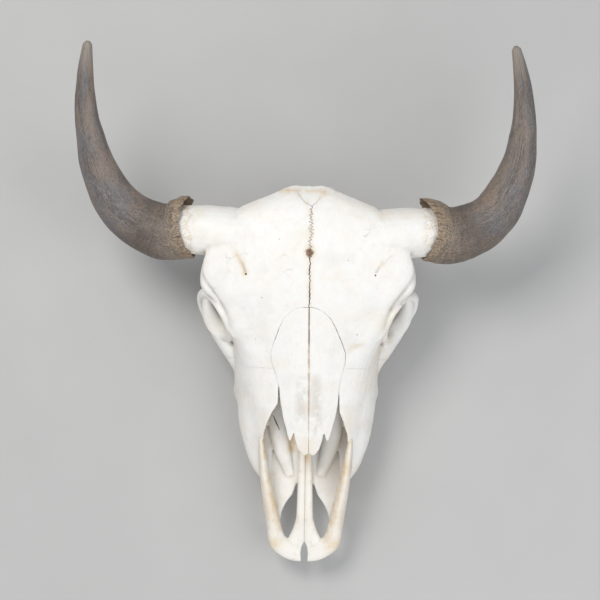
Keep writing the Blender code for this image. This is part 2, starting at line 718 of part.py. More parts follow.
def premaxilla(side, voxel=FINE_VOXEL):
    """The bone at the tip of the muzzle: the arm along the nose, and the rod beside the midline."""
    arm = limb(
        "arm",
        [
            (0.0010, -0.3655, 0.0476), (0.0140, -0.3640, 0.0480), (0.0270, -0.3600, 0.0490),
            (0.0388, -0.3500, 0.0512), (0.0445, -0.3290, 0.0560), (0.0500, -0.2970, 0.0650),
            (0.0565, -0.2620, 0.0770), (0.0608, -0.2290, 0.0890), (0.0640, -0.1970, 0.1010),
        ],
        [0.0150, 0.0158, 0.0142, 0.0132, 0.0110, 0.0100, 0.0080, 0.0060, 0.0030],
        [0.0056, 0.0066, 0.0076, 0.0088, 0.0115, 0.0145, 0.0135, 0.0100, 0.0045],
    )
    web = limb(
        "web",
        [
            (0.0070, -0.3160, 0.0545), (0.0095, -0.3340, 0.0520), (0.0140, -0.3510, 0.0492),
            (0.0180, -0.3640, 0.0470),
        ],
        [0.0050, 0.0080, 0.0105, 0.0090],
        [0.0050, 0.0055, 0.0060, 0.0040],
    )
    rod = limb(
        "rod",
        [
            (0.0062, -0.3700, 0.0462), (0.0060, -0.3540, 0.0490), (0.0058, -0.3250, 0.0535),
            (0.0052, -0.2920, 0.0575), (0.0048, -0.2560, 0.0600), (0.0042, -0.2180, 0.0640),
        ],
        [0.0070, 0.0074, 0.0068, 0.0062, 0.0056, 0.0042],
        [0.0040, 0.0058, 0.0056, 0.0056, 0.0056, 0.0040],
    )
    bone = fused(joined("premaxilla", [arm, web, rod]), voxel, 2)
    combine(bone, plate("notch", MUZZLE_NOTCH, 0.0, 0.2), "DIFFERENCE")
    return on_side(largest_body(bone), side)


def vomer(grow=0.0):
    """The thin keel that stands on the floor of the nose, behind the two rods."""
    path = ((-0.2100, 0.0600), (-0.1800, 0.0640), (-0.1400, 0.0720), (-0.1000, 0.0820), (-0.0750, 0.0880))
    reach = (-grow, 0.0, 0.0, 0.0, grow)
    return limb(
        "vomer",
        [(0, y + more, z) for (y, z), more in zip(path, reach)],
        [half + grow * 1.1 for half in (0.0016, 0.0022, 0.0024, 0.0024, 0.0022)],
        [half + grow * 1.1 for half in (0.0100, 0.0140, 0.0200, 0.0240, 0.0220)],
        sides=10,
        steps=4,
    )


def cheek_region(grow):
    """The part of the block that is the cheek bone, with its suture grown by grow."""
    outline = (
        (CHEEK_FRONT - grow, -0.05), (CHEEK_BACK + grow, -0.05), (CHEEK_BACK + grow, CHEEK_TOP_BACK + grow),
        (CHEEK_STEP - grow, CHEEK_TOP_BACK + grow), (CHEEK_STEP - grow, CHEEK_TOP_FRONT + grow),
        (CHEEK_FRONT - grow, CHEEK_TOP_FRONT + grow),
    )
    return plate("cheek_region", outline, CHEEK_INNER - grow, 0.200, UPRIGHT)


def face_region(grow):
    """The part of the block in front of the suture that is one half of the upper jaw."""
    edge = [(y + grow, z) for y, z in FACE_SUTURE]
    outline = [(-0.400, 0.2600), *edge, (-0.400, -0.0300)]
    return plate("face_region", outline, 0.0002 - grow, 0.200, UPRIGHT)


def tooth(index, y_back):
    """One cheek tooth with its back at y_back: two lobes on a molar, one on a premolar."""
    length, width, out = TEETH[index]
    is_molar = index < MOLARS
    middle = y_back - length / 2
    lift = max(0.0, (LIFT_STARTS - middle) * LIFT_SLOPE)
    ring = []
    for a in np.linspace(0, 2 * math.pi, 16, endpoint=False):
        along = math.copysign(abs(math.cos(a)) ** 0.55, math.cos(a)) * length * 0.485
        across = math.copysign(abs(math.sin(a)) ** 0.55, math.sin(a)) * width * 0.5
        if is_molar:
            across *= 0.90 - 0.096 * math.cos(4 * math.pi * along / length)
        ring.append((across, along))
    rings = []
    for height, size in ((0.0, 0.93), (0.004, 1.0), (TOOTH_TOP - lift, 0.96)):
        rings.append([Vector((out + x * size, middle + y * size, lift + height)) for x, y in ring])
    return skin("tooth_%d" % index, rings)


def tooth_row():
    row = []
    y = TOOTH_ROW_BACK
    for index, (length, _, _) in enumerate(TEETH):
        row.append(tooth(index, y))
        y -= length + 0.0003
    return row


def floor_cut(obj):
    """Everything under the floor is cut away, which leaves the small flats that the skull rests on."""
    bpy.ops.mesh.primitive_cube_add(size=1.0, location=(0, 0, -0.5))
    return combine(obj, bpy.context.object, "DIFFERENCE")


def make_room(block, bone):
    """Cuts the space for a finished bone out of the block, with the gap round it."""
    combine(block, grown(bone, "room", GAP), "DIFFERENCE")


def parted(block, region, side):
    """The bone that lies in a region of the block, which keeps a gap to it."""
    bone = combine(copied(block, "bone"), on_side(region(0.0), side), "INTERSECT")
    combine(block, on_side(region(GAP), side), "DIFFERENCE")
    return largest_body(bone)


def nose_bones(block):
    """The bones that are made by themselves and let into the block: muzzle, nasals and vomer."""
    bones = {"vomer": vomer()}
    for side in SIDES:
        bones["premaxilla_" + side] = thinned(premaxilla(side), PREMAXILLA_TRIANGLES)
        bones["nasal_" + side] = nasal_bone(side)
    combine(block, nasal_pocket(), "DIFFERENCE")
    combine(block, vomer(GAP), "DIFFERENCE")
    for name, bone in bones.items():
        if name != "vomer":
            make_room(block, bone)
    return bones


def upper_jaw(block, side):
    """One maxilla with its cheek teeth."""
    jaw = parted(block, face_region, side)
    for piece in tooth_row():
        combine(jaw, on_side(piece, side), "UNION")
    return largest_body(jaw)


def skull_bones():
    """Every bone and horn sheath, by name."""
    block = skull_block()
    bones = nose_bones(block)
    for side in SIDES:
        bones["zygomatic_" + side] = parted(block, cheek_region, side)
    for side in SIDES:
        bones["maxilla_" + side] = upper_jaw(block, side)
    for side in SIDES:
        bones["horn_" + side] = horn_sheath(side)
        make_room(block, bones["horn_" + side])
    bones["cranium"] = floor_cut(largest_body(block))
    return bones


def clear_scene():
    for obj in list(bpy.data.objects):
        bpy.data.objects.remove(obj)


def build():
    clear_scene()
    white = material("bone", BONE, 0.6)
    aged = material("aged_bone", AGED_BONE, 0.6)
    brown = material("horn", HORN_BROWN, 0.55)
    slots = {"horn": brown, "premaxilla": aged}
    for name, bone in skull_bones().items():
        bone.name = name
        bone.data.materials.clear()
        bone.data.materials.append(slots.get(name.split("_")[0], white))
        bone.data.transform(Matrix.Translation((-CENTRE_X, -CENTRE_Y, 0)))
        collection("cutters").objects.unlink(bone)
        collection("bison_skull").objects.link(bone)


build()
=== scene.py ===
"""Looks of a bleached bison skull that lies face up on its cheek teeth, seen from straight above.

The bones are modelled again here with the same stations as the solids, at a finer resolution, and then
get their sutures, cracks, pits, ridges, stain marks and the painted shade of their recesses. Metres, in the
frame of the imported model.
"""

import math

import bpy
import bmesh
import numpy as np
from mathutils import Matrix, Vector


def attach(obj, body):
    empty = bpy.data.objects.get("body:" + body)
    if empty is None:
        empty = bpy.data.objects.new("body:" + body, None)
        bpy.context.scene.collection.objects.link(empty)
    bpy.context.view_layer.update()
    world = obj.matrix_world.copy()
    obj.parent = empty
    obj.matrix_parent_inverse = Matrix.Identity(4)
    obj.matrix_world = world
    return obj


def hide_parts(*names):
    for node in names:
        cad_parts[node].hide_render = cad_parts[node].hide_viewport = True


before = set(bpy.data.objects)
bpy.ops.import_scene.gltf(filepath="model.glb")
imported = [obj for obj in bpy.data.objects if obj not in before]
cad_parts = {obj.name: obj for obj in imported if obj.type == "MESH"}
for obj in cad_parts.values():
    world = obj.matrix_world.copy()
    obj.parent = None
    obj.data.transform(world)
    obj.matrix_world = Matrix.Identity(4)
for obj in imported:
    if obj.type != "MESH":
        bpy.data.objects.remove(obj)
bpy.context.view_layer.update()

# How finely the bones are made
VOXEL = 0.0015
FINE_VOXEL = 0.0011
SMOOTHING = 9
# Gap at every suture, and between a sheath and its core
GAP = 0.00015

# The middle of the whole outline, so that the origin is under its centre
CENTRE_X = -0.0044
CENTRE_Y = -0.0177

# Cross sections of the skull from the muzzle to the crown. For each y: height of the ridge, then (x, z)
# of the shoulder, the side, the widest point and the lower edge, and the height of the underside.
SECTIONS = (
    (-0.2630, 0.091, (0.036, 0.088), (0.056, 0.081), (0.0615, 0.066), (0.052, 0.051), 0.047),
    (-0.2440, 0.101, (0.037, 0.097), (0.064, 0.087), (0.0763, 0.066), (0.062, 0.043), 0.045),
    (-0.2190, 0.121, (0.037, 0.111), (0.067, 0.094), (0.0866, 0.066), (0.068, 0.036), 0.044),
    (-0.1850, 0.131, (0.039, 0.121), (0.072, 0.101), (0.0960, 0.067), (0.073, 0.031), 0.042),
    (-0.1540, 0.139, (0.042, 0.130), (0.077, 0.110), (0.1000, 0.069), (0.078, 0.027), 0.041),
    (-0.1220, 0.147, (0.046, 0.138), (0.082, 0.119), (0.1025, 0.072), (0.080, 0.024), 0.040),
    (-0.0930, 0.155, (0.052, 0.146), (0.087, 0.128), (0.1030, 0.078), (0.080, 0.024), 0.040),
    (-0.0660, 0.163, (0.060, 0.155), (0.098, 0.140), (0.1010, 0.088), (0.078, 0.036), 0.044),
    (-0.0440, 0.170, (0.072, 0.163), (0.108, 0.150), (0.0960, 0.098), (0.080, 0.062), 0.058),
    (-0.0300, 0.174, (0.080, 0.168), (0.110, 0.155), (0.0820, 0.104), (0.062, 0.070), 0.062),
    (-0.0120, 0.180, (0.088, 0.175), (0.114, 0.160), (0.0560, 0.114), (0.046, 0.076), 0.066),
    (0.0080, 0.186, (0.102, 0.181), (0.126, 0.166), (0.0560, 0.122), (0.048, 0.078), 0.066),
    (0.0360, 0.192, (0.114, 0.185), (0.1450, 0.166), (0.0600, 0.126), (0.054, 0.076), 0.062),
    (0.0660, 0.197, (0.116, 0.189), (0.139, 0.170), (0.0640, 0.126), (0.058, 0.072), 0.058),
    (0.1000, 0.198, (0.108, 0.188), (0.130, 0.166), (0.0680, 0.122), (0.060, 0.068), 0.056),
    (0.1280, 0.191, (0.070, 0.184), (0.096, 0.164), (0.0740, 0.118), (0.058, 0.070), 0.060),
    (0.1440, 0.183, (0.038, 0.178), (0.058, 0.160), (0.0560, 0.120), (0.046, 0.084), 0.074),
    (0.1580, 0.170, (0.018, 0.167), (0.028, 0.156), (0.0280, 0.138), (0.020, 0.118), 0.108),
)
SECTION_SAMPLES = 44
LENGTHWISE_STEPS = 60

# The bony ring round each eye: its middle, the way it faces, and its size
ORBIT_CENTRE = Vector((0.1275, -0.022, 0.1195))
ORBIT_FACES = Vector((0.80, -0.50, 0.33)).normalized()
ORBIT_RADIUS = 0.0360
ORBIT_RIM = 0.0068

# Outlines seen from above, for the half at +X
NASAL_OUTLINE = (
    (0.0001, -0.0095), (0.012, -0.0110), (0.022, -0.0160), (0.033, -0.0260), (0.040, -0.0400),
    (0.048, -0.0600), (0.0525, -0.0740), (0.0515, -0.0880), (0.046, -0.1060), (0.0420, -0.1230),
    (0.0400, -0.1480), (0.0366, -0.1650), (0.0322, -0.1835), (0.0276, -0.1990), (0.0252, -0.1975),
    (0.0212, -0.1855), (0.0192, -0.1965), (0.0150, -0.2105), (0.0098, -0.2180), (0.0050, -0.2205),
    (0.0001, -0.2165),
)
NASAL_THICKNESS = 0.0052
# The joint between the nasal bones lies this far to the right of the midline at its root and at the tips
NASAL_JOINT = 0.0022
NASAL_LEAN = 0.0043
# The narrow upper end of the nose opening lies this much to the right, as the nasal bones do
OPENING_LEAN = 0.0034
NOSE_OPENING = (
    (-0.0100, -0.1190), (0.0428, -0.1190), (0.0433, -0.1460), (0.0475, -0.1580), (0.0535, -0.1725),
    (0.0592, -0.1905), (0.0606, -0.2070), (0.0590, -0.2300), (0.0520, -0.2620), (0.0450, -0.3400),
    (-0.0100, -0.3400),
)
NOSE_FLOOR = (
    (-0.0440, -0.3400), (0.0440, -0.3400), (0.0500, -0.2500), (0.0480, -0.2100), (0.0360, -0.1700),
    (-0.0360, -0.1700), (-0.0480, -0.2100), (-0.0500, -0.2500),
)
PALATE_FRONT = (
    (0.0000, -0.1950), (0.0500, -0.1950), (0.0540, -0.2400), (0.0520, -0.2750), (0.0480, -0.3050),
    (0.0440, -0.3280), (0.0375, -0.3280), (0.0335, -0.3070), (0.0270, -0.2945), (0.0185, -0.2835),
    (0.0132, -0.2675), (0.0000, -0.2600),
)
# What is cut away at the midline, so that the rods part in front
MUZZLE_NOTCH = (
    (-0.0200, -0.4000), (0.0052, -0.4000), (0.0046, -0.3830), (0.0056, -0.3670), (0.0040, -0.3570),
    (0.0002, -0.3500), (0.0002, -0.2000), (-0.0200, -0.2000),
)
PALATE_TOP = 0.0534
PALATE_THICKNESS = 0.0078

# The suture between the face and the braincase, as (y, z) seen from the side
FACE_SUTURE = (
    (-0.0960, 0.2600), (-0.0960, 0.1300), (-0.0900, 0.1000), (-0.0760, 0.0780), (-0.0580, 0.0600),
    (-0.0560, -0.0300),
)
# The cheek bone lies in front of, outside and below these places
CHEEK_INNER = 0.0985
CHEEK_FRONT = -0.0830
CHEEK_BACK = 0.0440
CHEEK_TOP_FRONT = 0.1120
CHEEK_TOP_BACK = 0.1340
CHEEK_STEP = -0.0280

# Centre line of a horn: distance from the midline, y and height, with the sheath's radius
HORN_LINE = (
    (0.172, 0.0965, 0.1530, 0.0405), (0.202, 0.0935, 0.1484, 0.0394), (0.235, 0.1050, 0.1490, 0.0362),
    (0.260, 0.1240, 0.1570, 0.0328), (0.278, 0.1500, 0.1690, 0.0290), (0.2935, 0.1870, 0.1880, 0.0240),
    (0.3005, 0.2220, 0.2060, 0.0192), (0.3045, 0.2485, 0.2190, 0.0162), (0.3050, 0.2800, 0.2340, 0.0130),
    (0.3030, 0.3110, 0.2480, 0.0100), (0.2995, 0.3395, 0.2600, 0.0062),
)
HORN_LEAN_IN = {"left": 0.000, "right": 0.024}
# How far the mouth of each sheath reaches in over the bone, on its crown side and on its face side
MOUTH_REACH = {"left": (0.012, 0.008), "right": (0.023, 0.007)}
HORN_SIDES = 16
HORN_RINGS = 20
SOCKET_DEPTH = 0.17
SOCKET_RINGS = 6
# The length of a sheath, and the radius of the imagined roll of horn that its grain is read from
HORN_LENGTH = 0.43
GRAIN_RADIUS = 0.035
GRAIN_SEED = {"left": 101, "right": 151}
GRAIN_SHIFT = {"left": 0.0, "right": 0.7}

# Cheek teeth from the back of the row: length along the jaw, width, and distance from the midline
TEETH = (
    (0.0300, 0.0245, 0.0640), (0.0300, 0.0255, 0.0655), (0.0260, 0.0245, 0.0650),
    (0.0180, 0.0205, 0.0625), (0.0180, 0.0185, 0.0595), (0.0160, 0.0150, 0.0560),
)
MOLARS = 3
TOOTH_ROW_BACK = -0.0700
TOOTH_TOP = 0.040
LIFT_STARTS = -0.1280
LIFT_SLOPE = 0.115

# The outline (x, y, z) of a plate made upright: its length runs along Y and its height along Z
UPRIGHT = Matrix(((0, 0, 1, 0), (1, 0, 0, 0), (0, 1, 0, 0), (0, 0, 0, 1)))

SIDES = ("left", "right")


def linked(name, mesh):
    obj = bpy.data.objects.new(name, mesh)
    bpy.context.scene.collection.objects.link(obj)
    return obj


def through(keys, values, at):
    """Smooth values at the places in at, through the given values at keys."""
    keys = np.asarray(keys, float)
    values = np.asarray(values, float).reshape(len(keys), -1)
    at = np.clip(np.asarray(at, float), keys[0], keys[-1])
    slopes = np.gradient(values, keys, axis=0)
    i = np.clip(np.searchsorted(keys, at, side="right") - 1, 0, len(keys) - 2)
    width = keys[i + 1] - keys[i]
    t = ((at - keys[i]) / width)[:, None]
    width = width[:, None]
    return (
        (2 * t**3 - 3 * t**2 + 1) * values[i]
        + (t**3 - 2 * t**2 + t) * width * slopes[i]
        + (3 * t**2 - 2 * t**3) * values[i + 1]
        + (t**3 - t**2) * width * slopes[i + 1]
    )


def skin(name, rings):
    """A closed body whose skin runs from ring to ring, with flat ends."""
    mesh = bmesh.new()
    rows = [[mesh.verts.new(p) for p in ring] for ring in rings]
    for row, following in zip(rows, rows[1:]):
        for i in range(len(row)):
            j = (i + 1) % len(row)
            mesh.faces.new((row[i], row[j], following[j], following[i]))
    mesh.faces.new(list(reversed(rows[0])))
    mesh.faces.new(rows[-1])
    bmesh.ops.recalc_face_normals(mesh, faces=mesh.faces)
    data = bpy.data.meshes.new(name)
    mesh.to_mesh(data)
    mesh.free()
    return linked(name, data)


def limb(name, path, widths, heights, sides=14, steps=6, upright=Vector((0, 0, 1))):
    """A bent tapering body with oval sections along a smooth path. Heights are measured along upright."""
    path = np.asarray(path, float)
    keys = np.arange(len(path))
    at = np.linspace(0, len(path) - 1, (len(path) - 1) * steps + 1)
    line = through(keys, path, at)
    half_widths = through(keys, widths, at)[:, 0]
    half_heights = through(keys, heights, at)[:, 0]
    turns = np.linspace(0, 2 * math.pi, sides, endpoint=False)
    rings = []
    for i, point in enumerate(line):
        before, after = line[max(i - 1, 0)], line[min(i + 1, len(line) - 1)]
        forward = Vector(after - before).normalized()
        side = forward.cross(upright).normalized() * half_widths[i]
        rise = side.cross(forward).normalized() * half_heights[i]
        rings.append([Vector(point) + side * math.cos(a) + rise * math.sin(a) for a in turns])
    return skin(name, rings)


def oval(name, centre, radii, turn=None):
    """An ellipsoid, turned by a rotation matrix where one is given."""
    mesh = bmesh.new()
    bmesh.ops.create_uvsphere(mesh, u_segments=28, v_segments=18, radius=1.0)
    placed = Matrix.Translation(centre) @ (turn or Matrix()).to_4x4() @ Matrix.Diagonal((*radii, 1.0))
    mesh.transform(placed)
    data = bpy.data.meshes.new(name)
    mesh.to_mesh(data)
    mesh.free()
    return linked(name, data)


def plate(name, outline, low, high, turn=None):
    """A flat outline, filled and made into a plate between two heights, and then turned if asked."""
    curve = bpy.data.curves.new(name, "CURVE")
    curve.dimensions = "2D"
    curve.fill_mode = "BOTH"
    curve.extrude = (high - low) / 2
    edge = curve.splines.new("POLY")
    edge.points.add(len(outline) - 1)
    for point, (x, y) in zip(edge.points, outline):
        point.co = (x, y, 0, 1)
    edge.use_cyclic_u = True
    flat = linked(name + "_curve", curve)
    flat.matrix_world = (turn or Matrix()) @ Matrix.Translation((0, 0, (high + low) / 2))
    bpy.context.view_layer.update()
    return meshed(name, flat)


def meshed(name, obj):
    """The evaluated shape of obj as a plain mesh object. The original is removed."""
    graph = bpy.context.evaluated_depsgraph_get()
    data = bpy.data.meshes.new_from_object(obj.evaluated_get(graph))
    data.transform(obj.matrix_world)
    mesh = bmesh.new()
    mesh.from_mesh(data)
    bmesh.ops.remove_doubles(mesh, verts=mesh.verts, dist=0.00001)
    bmesh.ops.recalc_face_normals(mesh, faces=mesh.faces)
    mesh.to_mesh(data)
    mesh.free()
    bpy.data.objects.remove(obj)
    data.name = name
    return linked(name, data)


def mirrored(obj, name):
    """A copy of obj on the other side of the midline."""
    data = obj.data.copy()
    data.transform(Matrix.Diagonal((-1.0, 1.0, 1.0, 1.0)))
    data.flip_normals()
    return linked(name, data)


def both(obj):
    """obj and its mirror image."""
    return [obj, mirrored(obj, obj.name + "_mirrored")]


def on_side(obj, side):
    """obj itself on the right side, or its mirror image instead of it on the left."""
    if side == "right":
        return obj
    other = mirrored(obj, obj.name)
    bpy.data.objects.remove(obj)
    return other


def settled(obj):
    """obj with its modifiers applied."""
    graph = bpy.context.evaluated_depsgraph_get()
    data = bpy.data.meshes.new_from_object(obj.evaluated_get(graph))
    obj.modifiers.clear()
    obj.data = data
    return obj


def joined(name, pieces):
    """All pieces as one mesh object, still as separate shells."""
    mesh = bmesh.new()
    for piece in pieces:
        mesh.from_mesh(piece.data)
        bpy.data.objects.remove(piece)
    data = bpy.data.meshes.new(name)
    mesh.to_mesh(data)
    mesh.free()
    return linked(name, data)


def fused(obj, voxel, smoothing):
    """The shells of obj grown together as bone does, with soft joins."""
    remesh = obj.modifiers.new("Fuse", "REMESH")
    remesh.mode = "VOXEL"
    remesh.voxel_size = voxel
    soften = obj.modifiers.new("Soften", "SMOOTH")
    soften.factor = 0.5
    soften.iterations = smoothing
    return settled(obj)


def combine(obj, other, operation):
    """A Boolean of obj with other, which is removed. The surfaces are too fine for the exact solver."""
    step = obj.modifiers.new(operation.title(), "BOOLEAN")
    step.operation = operation
    step.solver = "MANIFOLD"
    step.object = other
    settled(obj)
    bpy.data.objects.remove(other)
    return obj


def copied(obj, name):
    return linked(name, obj.data.copy())


def grown(obj, name, by):
    """A copy of obj that is larger all round."""
    copy = copied(obj, name)
    grow = copy.modifiers.new("Grow", "DISPLACE")
    grow.strength = by
    grow.mid_level = 0.0
    return settled(copy)


def largest_body(obj):
    """Only the largest closed surface of obj is kept."""
    data = obj.data
    ends = np.empty(len(data.edges) * 2, dtype=np.int32)
    data.edges.foreach_get("vertices", ends)
    first, second = ends[0::2], ends[1::2]
    label = np.arange(len(data.vertices))
    while True:
        before = label.copy()
        low = np.minimum(label[first], label[second])
        np.minimum.at(label, first, low)
        np.minimum.at(label, second, low)
        label = label[label]
        if (label == before).all():
            break
    main = np.bincount(label).argmax()
    if (label == main).all():
        return obj
    mesh = bmesh.new()
    mesh.from_mesh(data)
    mesh.verts.ensure_lookup_table()
    loose = [mesh.verts[i] for i in np.flatnonzero(label != main)]
    bmesh.ops.delete(mesh, geom=loose, context="VERTS")
    mesh.to_mesh(data)
    mesh.free()
    return obj


def section(y):
    """The outline of the skull's cross section at y, from the ridge down the +X side and back up."""
    keys = [row[0] for row in SECTIONS]
    table = [(row[1], *row[2], *row[3], *row[4], *row[5], row[6]) for row in SECTIONS]
    ridge, x1, z1, x2, z2, x3, z3, x4, z4, base = through(keys, table, [y])[0]
    half = [(0, ridge), (x1, z1), (x2, z2), (x3, z3), (x4, z4), (0, base)]
    around = half + [(-x, z) for x, z in half[-2:0:-1]]
    count = len(around)
    at = np.linspace(0, count, SECTION_SAMPLES, endpoint=False)
    wrapped = np.asarray(around[-2:] + around + around[:3])
    outline = through(np.arange(-2, count + 3), wrapped, at)
    return [(x, y, z) for x, z in outline]


def top_height(x, y):
    """Height of the skull's upper surface at y, for one x or an array of them."""
    outline = np.asarray(section(y))
    upper = outline[: SECTION_SAMPLES // 4]
    return np.interp(np.abs(x), upper[:, 0], upper[:, 2])


def skull_core():
    places = np.linspace(SECTIONS[0][0], SECTIONS[-1][0], LENGTHWISE_STEPS)
    return skin("skull_core", [section(y) for y in places])


def horn_line(side, at):
    """Points and radii along a horn, for at from 0 at the mouth of the sheath to 1 at its tip."""
    keys = np.linspace(0, 1, len(HORN_LINE))
    rows = through(keys, HORN_LINE, at)
    lean = HORN_LEAN_IN[side] * np.clip((np.asarray(at) - 0.25) / 0.75, 0, 1) ** 1.3
    way = 1 if side == "right" else -1
    points = np.column_stack((way * (rows[:, 0] - lean), rows[:, 1], rows[:, 2]))
    return points, rows[:, 3]


def rings_along(points, radii, sides, flare=None):
    """Round sections along a line. flare gives how much wider and further back each point of a ring lies."""
    rings = []
    for i, point in enumerate(points):
        before, after = points[max(i - 1, 0)], points[min(i + 1, len(points) - 1)]
        forward = Vector(after - before).normalized()
        across = forward.cross(Vector((0, 0, 1))).normalized()
        rise = across.cross(forward).normalized()
        ring = []
        for a in np.linspace(0, 2 * math.pi, sides, endpoint=False):
            out = across * math.cos(a) + rise * math.sin(a)
            wider, further = flare(i, out) if flare else (0.0, 0.0)
            ring.append(Vector(point) + out * (radii[i] + wider) - forward * further)
        rings.append(ring)
    return rings


def core_radius(at):
    """Radius of the bony horn core at a place along the horn line."""
    return np.interp(at, (0.0, 0.05, 0.10, SOCKET_DEPTH), (0.0345, 0.0335, 0.0315, 0.0235))


def horn_core(side):
    """The pedicle that grows out of the forehead, and the core that the sheath sits on."""
    way = 1 if side == "right" else -1
    at = np.linspace(0.0, SOCKET_DEPTH, 8)
    points, _ = horn_line(side, at)
    root = [(way * 0.080, 0.086, 0.155), (way * 0.115, 0.092, 0.1545), (way * 0.145, 0.0962, 0.1542)]
    radii = np.concatenate(((0.040, 0.0380, 0.0355), core_radius(at)))
    return skin("horn_core_" + side, rings_along(np.vstack((root, points)), radii, 24))


def horn_sheath(side, sides=HORN_SIDES, rings=HORN_RINGS):
    """The horn sheath. Its skin runs up the socket to the mouth, and on over the outside to the tip."""
    at = np.linspace(0.0, 1.0, rings) ** 0.92
    points, radii = horn_line(side, at)
    to_crown, to_face = MOUTH_REACH[side]

    def lip(near, out, spread, flare):
        """The mouth stands off the bone, most on the side of the crown, and its edge rolls in a little."""
        near_edge = near**1.6 * (1 - 0.4 * max(0.0, near / 0.2 - 4) ** 2)
        crown, face = max(0.0, out.y), max(0.0, -out.y)
        return near_edge * (spread + flare * crown), near**1.7 * (to_crown * crown**1.9 + to_face * face**1.9)

    def mouth(i, out):
        return lip(max(0.0, 1 - at[i] / 0.13), out, 0.0006, 0.0078)

    outside = rings_along(points, radii, sides, mouth)
    tip = Vector(points[-1] - points[-2]).normalized()
    outside.append([Vector(points[-1]) + tip * 0.0042 + (p - Vector(points[-1])) * 0.45 for p in outside[-1]])
    inside_at = np.linspace(0.0, SOCKET_DEPTH + 0.008, SOCKET_RINGS)
    inside_points, _ = horn_line(side, inside_at)
    bores = core_radius(inside_at) + GAP

    def loose(i, out):
        return lip(max(0.0, 1 - inside_at[i] / 0.13), out, 0.0060, 0.0098)

    inside = rings_along(inside_points, bores, sides, loose)
    return skin("horn_" + side, list(reversed(inside)) + outside)


def orbit_axes():
    back = Vector((0, 0, 1)).cross(ORBIT_FACES).normalized()
    up = ORBIT_FACES.cross(back).normalized()
    return Matrix((ORBIT_FACES, back, up)).transposed()


def orbit_ring():
    """The rim of the eye socket. It is heavier behind and below, where the cheek bone carries it."""
    bpy.ops.mesh.primitive_torus_add(
        major_segments=24, minor_segments=12, major_radius=ORBIT_RADIUS, minor_radius=ORBIT_RIM
    )
    ring = meshed("orbit_ring", bpy.context.object)
    axes = orbit_axes()
    for vertex in ring.data.vertices:
        around = Vector((vertex.co.x, vertex.co.y)).normalized()
        heavy = 1 + 0.25 * max(0.0, 0.6 * around.x - 0.8 * around.y)
        reach = ORBIT_RADIUS + (vertex.co.xy.length - ORBIT_RADIUS) * heavy
        depth = vertex.co.z * 1.25 * heavy
        vertex.co = ORBIT_CENTRE + axes @ Vector((depth, around.x * reach, around.y * reach))
    return ring


def side_forms():
    """The forms that each side of the skull adds to its core."""
    cheek = limb(
        "cheek",
        [(0.139, -0.020, 0.086), (0.131, -0.042, 0.085), (0.112, -0.064, 0.083), (0.094, -0.092, 0.078),
         (0.084, -0.128, 0.072)],
        [0.009, 0.010, 0.015, 0.014, 0.010],
        [0.013, 0.016, 0.021, 0.018, 0.010],
    )
    arch = limb(
        "arch",
        [(0.138, -0.030, 0.087), (0.1425, -0.002, 0.089), (0.141, 0.028, 0.090), (0.134, 0.058, 0.092),
         (0.118, 0.088, 0.094), (0.094, 0.108, 0.096)],
        [0.006, 0.0065, 0.0060, 0.0070, 0.011, 0.018],
        [0.012, 0.0120, 0.0110, 0.0120, 0.015, 0.022],
    )
    brow = limb(
        "brow",
        [(0.100, -0.052, 0.146), (0.1105, -0.034, 0.148), (0.1150, -0.014, 0.151), (0.126, 0.004, 0.155),
         (0.1410, 0.021, 0.158), (0.1400, 0.050, 0.158)],
        [0.006, 0.006, 0.007, 0.008, 0.0095, 0.008],
        [0.006, 0.006, 0.008, 0.009, 0.011, 0.010],
    )
    orbit_floor = limb(
        "orbit_floor",
        [(0.088, -0.066, 0.086), (0.108, -0.048, 0.084), (0.127, -0.034, 0.083)],
        [0.018, 0.017, 0.012],
        [0.016, 0.011, 0.009],
    )
    jugular = limb(
        "jugular",
        [
            (0.078, 0.104, 0.112), (0.074, 0.113, 0.088), (0.069, 0.123, 0.056), (0.062, 0.129, 0.026),
            (0.057, 0.130, -0.006),
        ],
        [0.018, 0.025, 0.018, 0.0125, 0.0085],
        [0.008, 0.014, 0.0115, 0.0085, 0.0070],
        upright=Vector((0, 1, 0)),
    )
    bulla = oval("bulla", (0.043, 0.088, 0.050), (0.013, 0.019, 0.020))
    leaning_out = Matrix.Rotation(math.radians(28), 3, "Y")
    condyle = oval("condyle", (0.029, 0.140, 0.056), (0.0165, 0.021, 0.027), leaning_out)
    wing = limb(
        "pterygoid",
        [(0.031, -0.062, 0.052), (0.028, -0.030, 0.054), (0.027, 0.000, 0.056), (0.028, 0.030, 0.064)],
        [0.0040, 0.0034, 0.0034, 0.0040],
        [0.014, 0.018, 0.020, 0.012],
    )
    mastoid = limb(
        "mastoid",
        [(0.060, 0.112, 0.125), (0.096, 0.108, 0.122), (0.114, 0.100, 0.104), (0.104, 0.104, 0.082)],
        [0.016, 0.018, 0.016, 0.012],
        [0.034, 0.030, 0.018, 0.012],
        upright=Vector((0, 0, 1)),
    )
    concha = limb(
        "concha",
        [(0.020, -0.080, 0.092), (0.033, -0.125, 0.084), (0.040, -0.170, 0.073), (0.034, -0.215, 0.062),
         (0.022, -0.255, 0.054)],
        [0.014, 0.015, 0.014, 0.012, 0.006],
        [0.016, 0.017, 0.015, 0.010, 0.004],
    )
    return [cheek, arch, brow, orbit_floor, jugular, bulla, condyle, wing, mastoid, orbit_ring()], concha


def nose_opening(side):
    """The space between the nasal bones and the upper jaw, on one side, seen from above."""
    way = 1 if side == "right" else -1
    outline = []
    for x, y in NOSE_OPENING:
        lean = OPENING_LEAN if y > -0.150 else 0.0
        outline.append((way * x + lean, y))
    return plate("nose_opening", outline, 0.062, 0.200)


